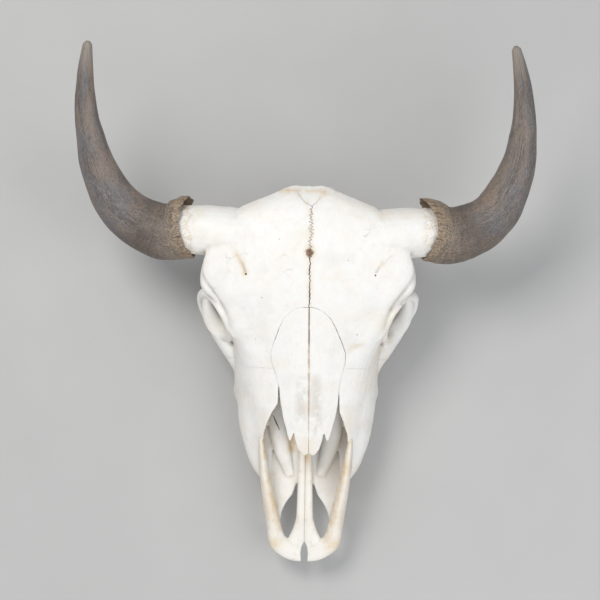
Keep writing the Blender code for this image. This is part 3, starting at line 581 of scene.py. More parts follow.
def hollows():
    """What is cut out of the skull: eye sockets, nose, palate, temporal pits and the spinal opening."""
    axes = orbit_axes()
    socket = oval("socket", ORBIT_CENTRE - ORBIT_FACES * 0.022, (0.060, 0.0315, 0.0305), axes)
    temporal = limb(
        "temporal_pit",
        [(0.150, 0.030, 0.112), (0.118, 0.050, 0.112), (0.086, 0.066, 0.110)],
        [0.026, 0.024, 0.014],
        [0.020, 0.020, 0.014],
    )
    canal = limb(
        "ear_canal",
        [(0.125, 0.086, 0.074), (0.100, 0.084, 0.072), (0.084, 0.082, 0.070)],
        [0.006, 0.005, 0.003],
        [0.006, 0.005, 0.003],
    )
    nose = limb(
        "nose",
        [(0, -0.300, 0.088), (0, -0.260, 0.086), (0, -0.215, 0.087), (0, -0.170, 0.092), (0, -0.125, 0.098),
         (0, -0.085, 0.103), (0, -0.052, 0.108)],
        [0.040, 0.050, 0.060, 0.063, 0.056, 0.040, 0.016],
        [0.033, 0.033, 0.034, 0.037, 0.036, 0.028, 0.012],
        sides=24,
    )
    palate = limb(
        "palate_vault",
        [(0, -0.290, 0.028), (0, -0.240, 0.024), (0, -0.180, 0.020), (0, -0.110, 0.018), (0, -0.060, 0.026),
         (0, -0.030, 0.030)],
        [0.030, 0.040, 0.044, 0.045, 0.040, 0.026],
        [0.018, 0.020, 0.021, 0.022, 0.026, 0.030],
        sides=24,
    )
    choana = oval("choana", (0, -0.030, 0.060), (0.019, 0.060, 0.017))
    magnum = oval("foramen_magnum", (0, 0.160, 0.078), (0.019, 0.048, 0.017))
    nose_floor = plate("nose_floor", NOSE_FLOOR, PALATE_TOP, 0.075)
    openings = [nose_opening(side) for side in SIDES]
    single = [nose, nose_floor, palate, choana, magnum]
    return [*both(socket), *both(temporal), *both(canal), *openings, *single]


def orbit_wall():
    """The broad cheek side of the eye socket, which leaves a small window beside the forehead."""
    return limb(
        "orbit_wall",
        [(0.1400, 0.0120, 0.128), (0.1415, -0.006, 0.114), (0.1370, -0.025, 0.103), (0.1240, -0.042, 0.097),
         (0.1050, -0.056, 0.098)],
        [0.0060, 0.0090, 0.0125, 0.0150, 0.0150],
        [0.0110, 0.0105, 0.0095, 0.0080, 0.0110],
    )


def skull_base():
    return limb(
        "skull_base",
        [(0, 0.140, 0.054), (0, 0.100, 0.054), (0, 0.050, 0.060), (0, 0.000, 0.068)],
        [0.024, 0.022, 0.018, 0.014],
        [0.016, 0.014, 0.014, 0.012],
    )


def palate_shelf():
    return plate("palate_front", PALATE_FRONT, PALATE_TOP - PALATE_THICKNESS, PALATE_TOP)


def carved(obj, cutters):
    for cutter in cutters:
        combine(obj, cutter, "DIFFERENCE")
    return obj


def nasal_strip(name, grow, above, lengthwise=24, crosswise=15):
    """A shell along the roof of the nose, as thick as the nasal bones, with more room where asked."""
    places = np.linspace(-0.232, 0.006, lengthwise)
    widths = np.linspace(-0.066, 0.066, crosswise)
    rings = []
    for y in places:
        roof = list(zip(widths, top_height(widths, y)))
        top = [Vector((x, y, z + above)) for x, z in roof]
        under = [Vector((x, y, z - NASAL_THICKNESS - grow)) for x, z in reversed(roof)]
        rings.append(top + under)
    return skin(name, rings)


def offset_outline(outline, by):
    """An outline pushed outwards by a small distance."""
    moved = []
    for i, (x, y) in enumerate(outline):
        (x0, y0), (x1, y1) = outline[i - 1], outline[(i + 1) % len(outline)]
        dx, dy = x1 - x0, y1 - y0
        length = math.hypot(dx, dy)
        moved.append((x - dy / length * by, y + dx / length * by))
    return moved


def nasal_joint(y):
    """Where the joint between the nasal bones lies at y."""
    return NASAL_JOINT + (NASAL_LEAN - NASAL_JOINT) * -y / 0.22


def nasal_outline(side):
    """The outline of one nasal bone, seen from above. The pair leans to one side towards its tips."""
    way = 1 if side == "right" else -1
    outline = []
    for x, y in NASAL_OUTLINE:
        lean = NASAL_LEAN * min(1.0, max(0.0, (-0.020 - y) / 0.120))
        if x < 0.001:
            outline.append((nasal_joint(y) + way * x, y))
        else:
            outline.append((way * x + lean, y))
    return outline if side == "right" else outline[::-1]


def nasal_pocket():
    """The space in the skull that the two nasal bones lie in."""
    outline = offset_outline(nasal_outline("right") + nasal_outline("left"), GAP)
    pocket = plate("pocket", outline, 0.080, 0.220)
    return combine(pocket, nasal_strip("pocket_shell", GAP, 0.02), "INTERSECT")


def premaxilla(side, voxel=FINE_VOXEL):
    """The bone at the tip of the muzzle: the arm along the nose, and the rod beside the midline."""
    arm = limb(
        "arm",
        [
            (0.0010, -0.3655, 0.0476), (0.0140, -0.3640, 0.0480), (0.0270, -0.3600, 0.0490),
            (0.0388, -0.3500, 0.0512), (0.0445, -0.3290, 0.0560), (0.0500, -0.2970, 0.0650),
            (0.0565, -0.2620, 0.0770), (0.0608, -0.2290, 0.0890), (0.0640, -0.1970, 0.1010),
        ],
        [0.0150, 0.0158, 0.0142, 0.0132, 0.0110, 0.0100, 0.0080, 0.0060, 0.0030],
        [0.0056, 0.0066, 0.0076, 0.0088, 0.0115, 0.0145, 0.0135, 0.0100, 0.0045],
    )
    web = limb(
        "web",
        [
            (0.0070, -0.3160, 0.0545), (0.0095, -0.3340, 0.0520), (0.0140, -0.3510, 0.0492),
            (0.0180, -0.3640, 0.0470),
        ],
        [0.0050, 0.0080, 0.0105, 0.0090],
        [0.0050, 0.0055, 0.0060, 0.0040],
    )
    rod = limb(
        "rod",
        [
            (0.0062, -0.3700, 0.0462), (0.0060, -0.3540, 0.0490), (0.0058, -0.3250, 0.0535),
            (0.0052, -0.2920, 0.0575), (0.0048, -0.2560, 0.0600), (0.0042, -0.2180, 0.0640),
        ],
        [0.0070, 0.0074, 0.0068, 0.0062, 0.0056, 0.0042],
        [0.0040, 0.0058, 0.0056, 0.0056, 0.0056, 0.0040],
    )
    bone = fused(joined("premaxilla", [arm, web, rod]), voxel, 2)
    combine(bone, plate("notch", MUZZLE_NOTCH, 0.0, 0.2), "DIFFERENCE")
    return on_side(largest_body(bone), side)


def vomer(grow=0.0):
    """The thin keel that stands on the floor of the nose, behind the two rods."""
    path = ((-0.2100, 0.0600), (-0.1800, 0.0640), (-0.1400, 0.0720), (-0.1000, 0.0820), (-0.0750, 0.0880))
    reach = (-grow, 0.0, 0.0, 0.0, grow)
    return limb(
        "vomer",
        [(0, y + more, z) for (y, z), more in zip(path, reach)],
        [half + grow * 1.1 for half in (0.0016, 0.0022, 0.0024, 0.0024, 0.0022)],
        [half + grow * 1.1 for half in (0.0100, 0.0140, 0.0200, 0.0240, 0.0220)],
        sides=10,
        steps=4,
    )


def cheek_region(grow):
    """The part of the block that is the cheek bone, with its suture grown by grow."""
    outline = (
        (CHEEK_FRONT - grow, -0.05), (CHEEK_BACK + grow, -0.05), (CHEEK_BACK + grow, CHEEK_TOP_BACK + grow),
        (CHEEK_STEP - grow, CHEEK_TOP_BACK + grow), (CHEEK_STEP - grow, CHEEK_TOP_FRONT + grow),
        (CHEEK_FRONT - grow, CHEEK_TOP_FRONT + grow),
    )
    return plate("cheek_region", outline, CHEEK_INNER - grow, 0.200, UPRIGHT)


def tooth(index, y_back):
    """One cheek tooth with its back at y_back: two lobes on a molar, one on a premolar."""
    length, width, out = TEETH[index]
    is_molar = index < MOLARS
    middle = y_back - length / 2
    lift = max(0.0, (LIFT_STARTS - middle) * LIFT_SLOPE)
    ring = []
    for a in np.linspace(0, 2 * math.pi, 16, endpoint=False):
        along = math.copysign(abs(math.cos(a)) ** 0.55, math.cos(a)) * length * 0.485
        across = math.copysign(abs(math.sin(a)) ** 0.55, math.sin(a)) * width * 0.5
        if is_molar:
            across *= 0.90 - 0.096 * math.cos(4 * math.pi * along / length)
        ring.append((across, along))
    rings = []
    for height, size in ((0.0, 0.93), (0.004, 1.0), (TOOTH_TOP - lift, 0.96)):
        rings.append([Vector((out + x * size, middle + y * size, lift + height)) for x, y in ring])
    return skin("tooth_%d" % index, rings)


def floor_cut(obj):
    """Everything under the floor is cut away, which leaves the small flats that the skull rests on."""
    bpy.ops.mesh.primitive_cube_add(size=1.0, location=(0, 0, -0.5))
    return combine(obj, bpy.context.object, "DIFFERENCE")


def make_room(block, bone):
    """Cuts the space for a finished bone out of the block, with the gap round it."""
    combine(block, grown(bone, "room", GAP), "DIFFERENCE")


def parted(block, region, side):
    """The bone that lies in a region of the block, which keeps a gap to it."""
    bone = combine(copied(block, "bone"), on_side(region(0.0), side), "INTERSECT")
    combine(block, on_side(region(GAP), side), "DIFFERENCE")
    return largest_body(bone)


def coords(obj):
    flat = np.empty(len(obj.data.vertices) * 3)
    obj.data.vertices.foreach_get("co", flat)
    return flat.reshape(-1, 3)


def facings(obj):
    flat = np.empty(len(obj.data.vertices) * 3)
    obj.data.vertex_normals.foreach_get("vector", flat)
    return flat.reshape(-1, 3)


def put(obj, points):
    obj.data.vertices.foreach_set("co", points.ravel())
    obj.data.update()
    return obj


def marked(obj, name, values):
    """A value for each point of the mesh, which a material reads by name."""
    layer = obj.data.attributes.new(name, "FLOAT", "POINT")
    layer.data.foreach_set("value", values.astype(np.float32))


def paint(obj, name, values):
    """The same, for a value from 0 to 1 that says how much staining, finish or painted shade there is."""
    marked(obj, name, np.clip(values, 0, 1))


def scatter(cell, seed):
    """A repeatable random value from 0 to 1 for each whole-numbered place."""
    mixed = cell[:, 0] * 73856093 ^ cell[:, 1] * 19349663 ^ cell[:, 2] * 83492791 ^ (seed * 2654435 + 97)
    mixed = (mixed ^ (mixed >> 13)) * 1274126177 & 0xFFFFFFFF
    mixed = (mixed ^ (mixed >> 15)) * 2246822519 & 0xFFFFFFFF
    return ((mixed ^ (mixed >> 16)) & 0xFFFF) / 65535.0


def noise(points, size, seed=0):
    """Smooth noise from -1 to 1 with lumps of about this size."""
    place = np.asarray(points) / size
    cell = np.floor(place).astype(np.int64)
    part = place - cell
    part = part * part * (3 - 2 * part)
    total = np.zeros(len(place))
    for x, y, z in np.ndindex(2, 2, 2):
        weight = np.ones(len(place))
        for axis, corner in enumerate((x, y, z)):
            weight = weight * (part[:, axis] if corner else 1 - part[:, axis])
        total += weight * scatter(cell + np.array((x, y, z)), seed)
    return total * 2 - 1


def layered(points, size, layers, seed=0):
    return sum(noise(points, size / 2**i, seed + i) / 2**i for i in range(layers))


def distance_to(points, line):
    """Distance from each point to a bent line, and how far along the line the nearest place is, 0 to 1."""
    line = np.asarray(line, float)
    best = np.full(len(points), 1e9)
    along = np.zeros(len(points))
    count = len(line) - 1
    for i in range(count):
        way = line[i + 1] - line[i]
        t = np.clip((points - line[i]) @ way / (way @ way), 0, 1)
        far = np.linalg.norm(points - line[i] - t[:, None] * way, axis=1)
        nearer = far < best
        best[nearer] = far[nearer]
        along[nearer] = (i + t[nearer]) / count
    return best, along


def bell(values, middle, width):
    """1 in the middle, falling smoothly to 0 on either side."""
    return np.exp(-(((values - middle) / width) ** 2))


def between(values, low, high):
    """0 below low, 1 above high, and smooth between them."""
    t = np.clip((values - low) / (high - low), 0, 1)
    return t * t * (3 - 2 * t)


def band(values, start, full, fading, end):
    """0 before start, 1 from full to fading, and 0 again from the end on."""
    return between(values, start, full) * (1 - between(values, fading, end))


def ridge(points, line, width, height):
    """A smooth ridge of this height along a line, or a groove where the height is negative."""
    best, _ = distance_to(points, line)
    return height * bell(best, 0.0, width)


def on_both(points):
    """The points with the left half folded over onto the right."""
    return points * np.where(points[:, :1] < 0, (-1, 1, 1), (1, 1, 1))


# Ridges and grooves of the skull: (points of the line, width, height), the same on both sides
RELIEF = (
    (
        ((0.101, -0.140, 0.056), (0.104, -0.112, 0.060), (0.108, -0.085, 0.068), (0.121, -0.058, 0.074)),
        0.0060, 0.0020,
    ),
    (((0.100, -0.132, 0.054), (0.100, -0.131, 0.054)), 0.0110, 0.0026),
    (
        ((0.140, 0.040, 0.166), (0.128, 0.062, 0.172), (0.112, 0.092, 0.186), (0.088, 0.120, 0.184)),
        0.0055, 0.0008,
    ),
    (
        ((0.016, 0.161, 0.166), (0.040, 0.150, 0.168), (0.064, 0.139, 0.168), (0.090, 0.130, 0.168)),
        0.0050, 0.0012,
    ),
    (((0.020, 0.150, 0.150), (0.045, 0.140, 0.128), (0.066, 0.126, 0.108)), 0.0060, 0.0016),
    (
        ((0.060, -0.072, 0.160), (0.078, -0.040, 0.168), (0.092, -0.010, 0.176), (0.102, 0.030, 0.184)),
        0.0120, -0.0012,
    ),
    (((0.080, -0.245, 0.062), (0.090, -0.215, 0.058), (0.094, -0.180, 0.055)), 0.0080, -0.0012),
    (((0.066, -0.240, 0.088), (0.074, -0.190, 0.096), (0.080, -0.140, 0.108)), 0.0110, -0.0010),
)
# The vessel grooves in front of the horns, in the same form, one side each
VESSEL_GROOVES = (
    (
        (
            (-0.1035, 0.0715, 0.186), (-0.0975, 0.0600, 0.188), (-0.0905, 0.0480, 0.189),
            (-0.0870, 0.0375, 0.189),
        ),
        0.0024, -0.0022,
    ),
    (((-0.1090, 0.0610, 0.184), (-0.0985, 0.0560, 0.188)), 0.0016, -0.0009),
    (((0.1130, 0.0705, 0.184), (0.1040, 0.0560, 0.187), (0.0950, 0.0390, 0.188)), 0.0024, -0.0014),
)
MIDLINE_HOLLOW = (
    (0.002, 0.110, 0.199), (0.002, 0.040, 0.192), (0.001, -0.010, 0.180), (0.000, -0.060, 0.164),
)
# Round openings for vessels and nerves, each (mouth, bottom, radius): those on both sides, and single ones
PAIRED_HOLES = (
    ((0.098, -0.192, 0.060), (0.076, -0.180, 0.064), 0.0046),
    ((0.0905, -0.232, 0.050), (0.072, -0.226, 0.052), 0.0016),
    ((0.030, -0.120, 0.036), (0.030, -0.112, 0.050), 0.0034),
    ((0.020, 0.116, 0.036), (0.022, 0.112, 0.050), 0.0032),
)
SINGLE_HOLES = (
    ((-0.0865, 0.0366, 0.198), (-0.0850, 0.0340, 0.180), 0.0021),
    ((0.0940, 0.0372, 0.197), (0.0930, 0.0340, 0.180), 0.0019),
    ((-0.0635, 0.0030, 0.192), (-0.0630, 0.0020, 0.176), 0.0010),
    ((-0.0400, 0.0840, 0.206), (-0.0400, 0.0830, 0.190), 0.0008),
    ((0.0550, 0.0560, 0.202), (0.0550, 0.0550, 0.186), 0.0008),
    ((-0.0720, -0.0560, 0.168), (-0.0715, -0.0550, 0.150), 0.0009),
    ((0.0700, -0.0480, 0.170), (0.0695, -0.0470, 0.152), 0.0010),
    ((0.0830, -0.1160, 0.140), (0.0800, -0.1150, 0.120), 0.0009),
)


def weathered(obj):
    """The relief that muscles, vessels and age leave on the bones."""
    points, out = coords(obj), facings(obj)
    folded = on_both(points)
    rise = 0.00085 * layered(points, 0.050, 2, 3) + 0.00030 * layered(points, 0.014, 2, 11)
    for line, width, height in RELIEF:
        rise += ridge(folded, line, width, height)
    for line, width, height in VESSEL_GROOVES:
        rise += ridge(points, line, width, height)
    rise += ridge(points, MIDLINE_HOLLOW, 0.0100, -0.0009)
    # The bone is pitted and knobbly where the sheath grew from it, and on the crest of the crown
    burr = np.clip((folded[:, 0] - 0.154) / 0.010, 0, 1)
    crest = bell(folded[:, 1], 0.156, 0.010) * (folded[:, 0] < 0.06)
    rise += (burr * 0.00075 + crest * 0.00040) * layered(points, 0.0058, 2, 23)
    rise += 0.00012 * noise(points, 0.0045, 31)
    return put(obj, points + out * rise[:, None])


def vessel_hole(mouth, bottom, radius):
    """A tapering hole into the bone."""
    middle = [(a + b) / 2 for a, b in zip(mouth, bottom)]
    sizes = [radius, radius * 0.8, radius * 0.4]
    upright = Vector((0.3, 0.9, 0.2))
    return limb("hole", [mouth, middle, bottom], sizes, sizes, sides=12, steps=3, upright=upright)


def vessel_holes():
    holes = [vessel_hole(*row) for row in SINGLE_HOLES]
    for (mouth_x, *mouth), (bottom_x, *bottom), radius in PAIRED_HOLES:
        for way in (1, -1):
            holes.append(vessel_hole((way * mouth_x, *mouth), (way * bottom_x, *bottom), radius))
    return holes


def zigzag(path, pitch, swing, seed):
    """A line from above broken into teeth, as bones that lock together are."""
    path = np.asarray(path, float)
    steps = np.linalg.norm(np.diff(path, axis=0), axis=1)
    reach = np.concatenate(((0,), np.cumsum(steps)))
    count = max(3, int(reach[-1] / pitch))
    at = np.linspace(0, reach[-1], count + 1)
    line = np.column_stack([np.interp(at, reach, path[:, i]) for i in range(2)])
    way = np.gradient(line, axis=0)
    way /= np.linalg.norm(way, axis=1)[:, None]
    side = np.column_stack((-way[:, 1], way[:, 0]))
    cell = np.column_stack((np.arange(count + 1), np.zeros(count + 1, int), np.zeros(count + 1, int)))
    size = 0.35 + 0.9 * scatter(cell, seed)
    slip = (scatter(cell, seed + 1) - 0.5) * pitch * 0.5
    turn = np.where(np.arange(count + 1) % 2, 1, -1) * size * swing
    turn[[0, -1]] = 0
    return line + side * turn[:, None] + way * slip[:, None]


def blade(name, line, widths, depth):
    """A thin upright blade along a line on top of the skull, which cuts a suture or crack this deep."""
    line = np.asarray(line, float)
    way = np.gradient(line, axis=0)
    way /= np.linalg.norm(way, axis=1)[:, None] + 1e-9
    side = np.column_stack((-way[:, 1], way[:, 0]))
    half = np.interp(np.linspace(0, 1, len(line)), np.linspace(0, 1, len(widths)), widths) / 2
    rings = []
    for (x, y), (sx, sy), w in zip(line, side, half):
        top = top_height(x, y)
        right = [(0.4, top - depth), (1.3, top + 0.001), (1.3, top + 0.012)]
        left = [(-out, height) for out, height in reversed(right)]
        rings.append([Vector((x + sx * w * out, y + sy * w * out, z)) for out, z in right + left])
    return skin(name, rings)


# Lines on the forehead, seen from above
CROWN_SUTURE = (
    (0.0040, 0.1300), (0.0030, 0.1120), (0.0045, 0.0950), (0.0025, 0.0790), (0.0020, 0.0560),
)
CROWN_SUTURE_WIDTHS = (0.0008, 0.0016, 0.0013, 0.0018)
CROWN_BRANCHES = (
    ((-0.0150, 0.1480), (-0.0090, 0.1390), (-0.0030, 0.1330), (0.0040, 0.1300)),
    ((0.0175, 0.1430), (0.0120, 0.1370), (0.0080, 0.1320), (0.0040, 0.1300)),
)
FOREHEAD_CRACK = (
    (0.0020, 0.0600), (0.0030, 0.0500), (0.0018, 0.0380), (0.0032, 0.0280), (0.0022, 0.0160),
    (0.0030, 0.0040), (0.0020, -0.0100),
)
FOREHEAD_CRACK_WIDTHS = (0.0010, 0.0019, 0.0012, 0.0022, 0.0011)
SMALL_CRACKS = (
    ((0.1290, -0.0040), (0.1345, -0.0062), (0.1400, -0.0050), (0.1455, -0.0035)),
    ((0.1040, 0.0500), (0.1100, 0.0580), (0.1165, 0.0640)),
    ((0.0560, -0.0700), (0.0650, -0.0640), (0.0760, -0.0600)),
)


def sutures_and_cracks():
    cuts = [
        blade("crown_suture", zigzag(CROWN_SUTURE, 0.0022, 0.0026, 5), CROWN_SUTURE_WIDTHS, 0.0034),
        blade("forehead_crack", zigzag(FOREHEAD_CRACK, 0.0030, 0.0009, 9), FOREHEAD_CRACK_WIDTHS, 0.0048),
    ]
    for i, line in enumerate(CROWN_BRANCHES):
        cuts.append(blade("crown_branch", zigzag(line, 0.0015, 0.0009, 20 + i), (0.0003, 0.0005), 0.0010))
    for i, line in enumerate(SMALL_CRACKS):
        cuts.append(blade("crack", zigzag(line, 0.0020, 0.0005, 40 + i), (0.0002, 0.0006, 0.0002), 0.0016))
    return cuts


def dense_outline(outline, pitch, swing, seed, rough_until):
    """An outline with more points and an uneven edge. Its last side, on the midline, stays straight."""
    dense = []
    for i, (x0, y0) in enumerate(outline):
        x1, y1 = outline[(i + 1) % len(outline)]
        last = i == len(outline) - 1
        steps = 1 if last else max(1, int(math.hypot(x1 - x0, y1 - y0) / pitch))
        for k in range(steps):
            x, y = x0 + (x1 - x0) * k / steps, y0 + (y1 - y0) * k / steps
            shake = noise(np.array([[x, y, seed * 0.37]]), 0.0035, seed)[0]
            amount = swing if y > rough_until else swing * 0.7
            if k == 0 and (i == 0 or last):
                amount = 0.0
            dense.append((x + shake * amount, y + shake * amount * 0.6))
    return dense


def fine_nasal(side):
    outline = dense_outline(nasal_outline(side), 0.0016, 0.0005, 3 if side == "left" else 8, -0.05)
    bone = plate("nasal_" + side, outline, 0.080, 0.220)
    combine(bone, nasal_strip("nasal_shell", 0.0, 0.0, 110, 60), "INTERSECT")
    bone = fused(bone, FINE_VOXEL * 0.7, 1)
    points, out = coords(bone), facings(bone)
    upward = np.clip(out[:, 2], 0, 1)
    inward = np.abs(points[:, 0] - nasal_joint(points[:, 1]))
    rise = 0.00070 * layered(points, 0.050, 2, 3) + 0.00022 * layered(points, 0.012, 2, 11)
    # Each nasal bone is a little crowned, so that a shallow valley runs between the two
    rise += upward * (0.0010 * bell(inward, 0.020, 0.013) - 0.0006 * bell(inward, 0.0, 0.004))
    rise += upward * 0.00018 * noise(points * np.array((1.0, 0.12, 1.0)), 0.0030, 61)
    put(bone, points + out * rise[:, None])
    bone.name = "nasal_" + side + "_bone"
    return largest_body(bone)


def wavy_region(outline, near, far, grow, layers):
    """A region seen from the side. The face that isn't free of the bone waves and locks as a suture does."""
    places = np.linspace(near, far, layers)
    ys, zs, free = (np.array(column) for column in zip(*outline))
    at_x, at_z = np.meshgrid(places, zs, indexing="ij")
    at = np.column_stack((at_x.ravel(), np.zeros(at_x.size), at_z.ravel()))
    wave = 0.0042 * noise(at, 0.034, 71) + 0.0011 * noise(at, 0.0052, 73)
    locking = np.where((places / 0.0021).astype(int) % 2 == 1, 0.0005, -0.0005)
    moved = ys + np.where(free, 0.0, wave.reshape(at_x.shape) + locking[:, None] + grow)
    rings = [[Vector((x, y, z)) for y, z in zip(row, zs)] for x, row in zip(places, moved)]
    return skin("region", rings)


def fine_face_region(grow):
    heights = np.linspace(0.2500, -0.0280, 110)
    keys = [z for _, z in reversed(FACE_SUTURE)]
    ys = [y for y, _ in reversed(FACE_SUTURE)]
    outline = [(-0.400, 0.2600, True)] + [(float(np.interp(z, keys, ys)), float(z), False) for z in heights]
    outline.append((-0.400, -0.0300, True))
    return wavy_region(outline, 0.0002 - grow, 0.200, grow, 95)


def fine_block():
    forms, concha = side_forms()
    pieces = [skull_core(), horn_core("left"), horn_core("right")]
    for form in forms:
        pieces += both(form)
    pieces.append(oval("braincase", (0, 0.070, 0.120), (0.064, 0.078, 0.056)))
    pieces.append(skull_base())
    block = fused(joined("skull_block", pieces), VOXEL, 2)
    carved(block, hollows())
    extra = [*both(concha), *both(palate_shelf()), *both(orbit_wall())]
    block = joined("skull_block", [block, *extra])
    block = fused(block, VOXEL, SMOOTHING)
    largest_body(block)
    weathered(block)
    slit = limb(
        "slit",
        [(-0.0470, -0.1660, 0.092), (-0.0420, -0.1770, 0.090), (-0.0370, -0.1880, 0.088)],
        [0.0004, 0.0010, 0.0004],
        [0.016, 0.018, 0.016],
        sides=8,
    )
    return carved(block, [*vessel_holes(), slit, *sutures_and_cracks()])


def fine_tooth(index, y_back):
    """A cheek tooth with lobes, ribs and the worn crescents of a grazing animal."""
    piece = fused(tooth(index, y_back), FINE_VOXEL, 3)
    points, out = coords(piece), facings(piece)
    length, width, middle_x = TEETH[index]
    middle = y_back - length / 2
    low = points[:, 2].min()
    along = (points[:, 1] - middle) / length
    across = (points[:, 0] - middle_x) / width
    lobes = 2 if index < MOLARS else 1
    side = np.clip(1 - np.abs(out[:, 2]) * 2, 0, 1)
    outer = np.clip(out[:, 0] * 1.5, 0, 1)
    rise = side * outer * 0.0009 * np.cos(2 * math.pi * along * lobes * 2)
    rise += side * 0.00018 * noise(points * np.array((1, 1, 0.25)), 0.0022, 83)
    face = np.clip(-out[:, 2], 0, 1) ** 2 * (points[:, 2] < low + 0.004)
    phase = (along * lobes) % 1.0 - 0.5
    crescent = bell(np.hypot(phase * 0.9, across * 0.55), 0.22, 0.07)
    rise -= face * crescent * 0.0016
    points = points + out * rise[:, None]
    points[:, 2] = np.maximum(points[:, 2], low)
    return put(piece, points)


def fine_teeth(side):
    row, y = [], TOOTH_ROW_BACK
    for index in range(len(TEETH)):
        row.append(fine_tooth(index, y))
        y -= TEETH[index][0] + 0.0003
    teeth = joined("teeth_" + side, row)
    return on_side(teeth, side)


def horn_places(count, sides, rings):
    """For each point of a sheath: its ring (below 0 in the socket), how far along it is, and its grain."""
    index = np.arange(count)
    ring = index // sides - SOCKET_RINGS
    along = (np.clip(ring, 0, rings) / (rings - 1)) ** 0.92
    around = (index % sides) / sides * 2 * math.pi
    grain = (along * HORN_LENGTH, GRAIN_RADIUS * np.cos(around), GRAIN_RADIUS * np.sin(around))
    return ring, along, np.column_stack(grain)


def horn_relief(grain, along, base, mouth, seed):
    """Lengthwise splits, growth rings, fibres at the mouth and lumps on the outside of a sheath."""
    streak = noise(grain * np.array((0.10, 1, 1)), 0.0021, seed)
    streak += 0.6 * noise(grain * np.array((0.2, 1, 1)), 0.0050, seed + 1)
    growth = noise(grain * np.array((1, 0.16, 0.16)), 0.0065, seed + 2)
    fibre = noise(grain * np.array((0.40, 1, 1)), 0.0019, seed + 6)
    lumps = layered(grain, 0.030, 2, seed + 3)
    lumps += 0.5 * layered(grain * np.array((0.5, 1, 1)), 0.012, 2, seed + 7)
    rise = 0.00030 * streak * (0.35 + 0.65 * base) * np.clip((1.02 - along) / 0.15, 0.1, 1)
    rise += 0.00045 * growth * base + 0.0010 * lumps * np.clip(1 - along, 0.25, 1)
    rise += (mouth * 0.00085 + base * 0.00025) * fibre
    return rise + mouth * 0.0005 * layered(grain, 0.009, 2, seed + 4)


def fine_horn(side):
    """The sheath, with growth rings and lengthwise splits at its base, and a mouth that has frayed."""
    sides, rings = ((160, 260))
    way = 1 if side == "right" else -1
    seed = GRAIN_SEED[side]
    sheath = horn_sheath(side, sides, rings)
    points, out = coords(sheath), facings(sheath)
    ring, along, grain = horn_places(len(points), sides, rings)
    outside = ring >= 0
    base = np.clip(1 - along / 0.26, 0, 1)
    mouth = np.clip(1 - along / 0.075, 0, 1)
    rise = horn_relief(grain, along, base, mouth, seed) * outside
    moved = points + out * rise[:, None]
    # The frayed edge of the mouth is longer in some places than in others
    lip = np.clip(1 - along / 0.03, 0, 1) * outside + (ring == -1)
    frayed = layered(grain * np.array((0, 1, 1)), 0.0060, 3, seed + 5)
    moved[:, 0] += way * lip * (0.0018 * frayed + 0.0007)
    put(sheath, moved)
    for name, column in zip(("grain_along", "grain_x", "grain_y"), grain.T):
        marked(sheath, name, column)
    paint(sheath, "base", base)
    paint(sheath, "mouth", mouth * outside + ~outside)
    paint(sheath, "inner", 0.9 * out[:, 1] * (1 - along) - 0.9 * way * out[:, 0] * (0.3 + along))
    paint(sheath, "dark", band(along, 0.02, 0.14, 0.16, 0.34))
    paint(sheath, "tip", (along - 0.86) / 0.14)
    return sheath


def bones():
    made = {"vomer": vomer()}
    block = fine_block()
    for side in SIDES:
        made["premaxilla_" + side] = premaxilla(side)
        made["nasal_" + side] = fine_nasal(side)
    combine(block, nasal_pocket(), "DIFFERENCE")
    combine(block, vomer(GAP), "DIFFERENCE")
    for name, bone in made.items():
        if name != "vomer":
            make_room(block, bone)
    for side in SIDES:
        sheath = horn_sheath(side)
        make_room(block, sheath)
        bpy.data.objects.remove(sheath)
    for side in SIDES:
        made["zygomatic_" + side] = parted(block, cheek_region, side)
    for side in SIDES:
        made["maxilla_" + side] = parted(block, fine_face_region, side)
    made["cranium"] = floor_cut(largest_body(block))
    return made


def top_map():
    ys = np.linspace(SECTIONS[0][0], SECTIONS[-1][0], 240)
    xs = np.linspace(0, 0.145, 90)
    grid = np.zeros((len(ys), len(xs)))
    for i, y in enumerate(ys):
        outline = np.asarray(section(y))[: SECTION_SAMPLES // 4]
        grid[i] = np.interp(xs, outline[:, 0], outline[:, 2])

    def height(points):
        i = np.clip((points[:, 1] - ys[0]) / (ys[1] - ys[0]), 0, len(ys) - 1.001)
        j = np.clip(np.abs(points[:, 0]) / (xs[1] - xs[0]), 0, len(xs) - 1.001)
        i0, j0 = i.astype(int), j.astype(int)
        u, v = i - i0, j - j0
        near = grid[i0, j0] * (1 - v) + grid[i0, j0 + 1] * v
        far = grid[i0 + 1, j0] * (1 - v) + grid[i0 + 1, j0 + 1] * v
        return near * (1 - u) + far * u

    return height


def hollowness(obj, passes):
    """How far each point lies in a recess, from 0 to 1, judged against its surroundings: the amount of
    painted shade there.
    """
    points, out = coords(obj), facings(obj)
    ends = np.empty(len(obj.data.edges) * 2, dtype=np.int32)
    obj.data.edges.foreach_get("vertices", ends)
    a, b = ends[0::2], ends[1::2]
    count = len(points)
    ties = np.maximum(np.bincount(a, minlength=count) + np.bincount(b, minlength=count), 1)
    smooth = points.copy()
    for _ in range(passes):
        total = np.zeros_like(smooth)
        for axis in range(3):
            total[:, axis] += np.bincount(a, smooth[b, axis], minlength=count)
            total[:, axis] += np.bincount(b, smooth[a, axis], minlength=count)
        smooth = total / ties[:, None]
    return np.clip(((smooth - points) * out).sum(axis=1) / 0.0012, 0, 1)


HEIGHT_AT = top_map()


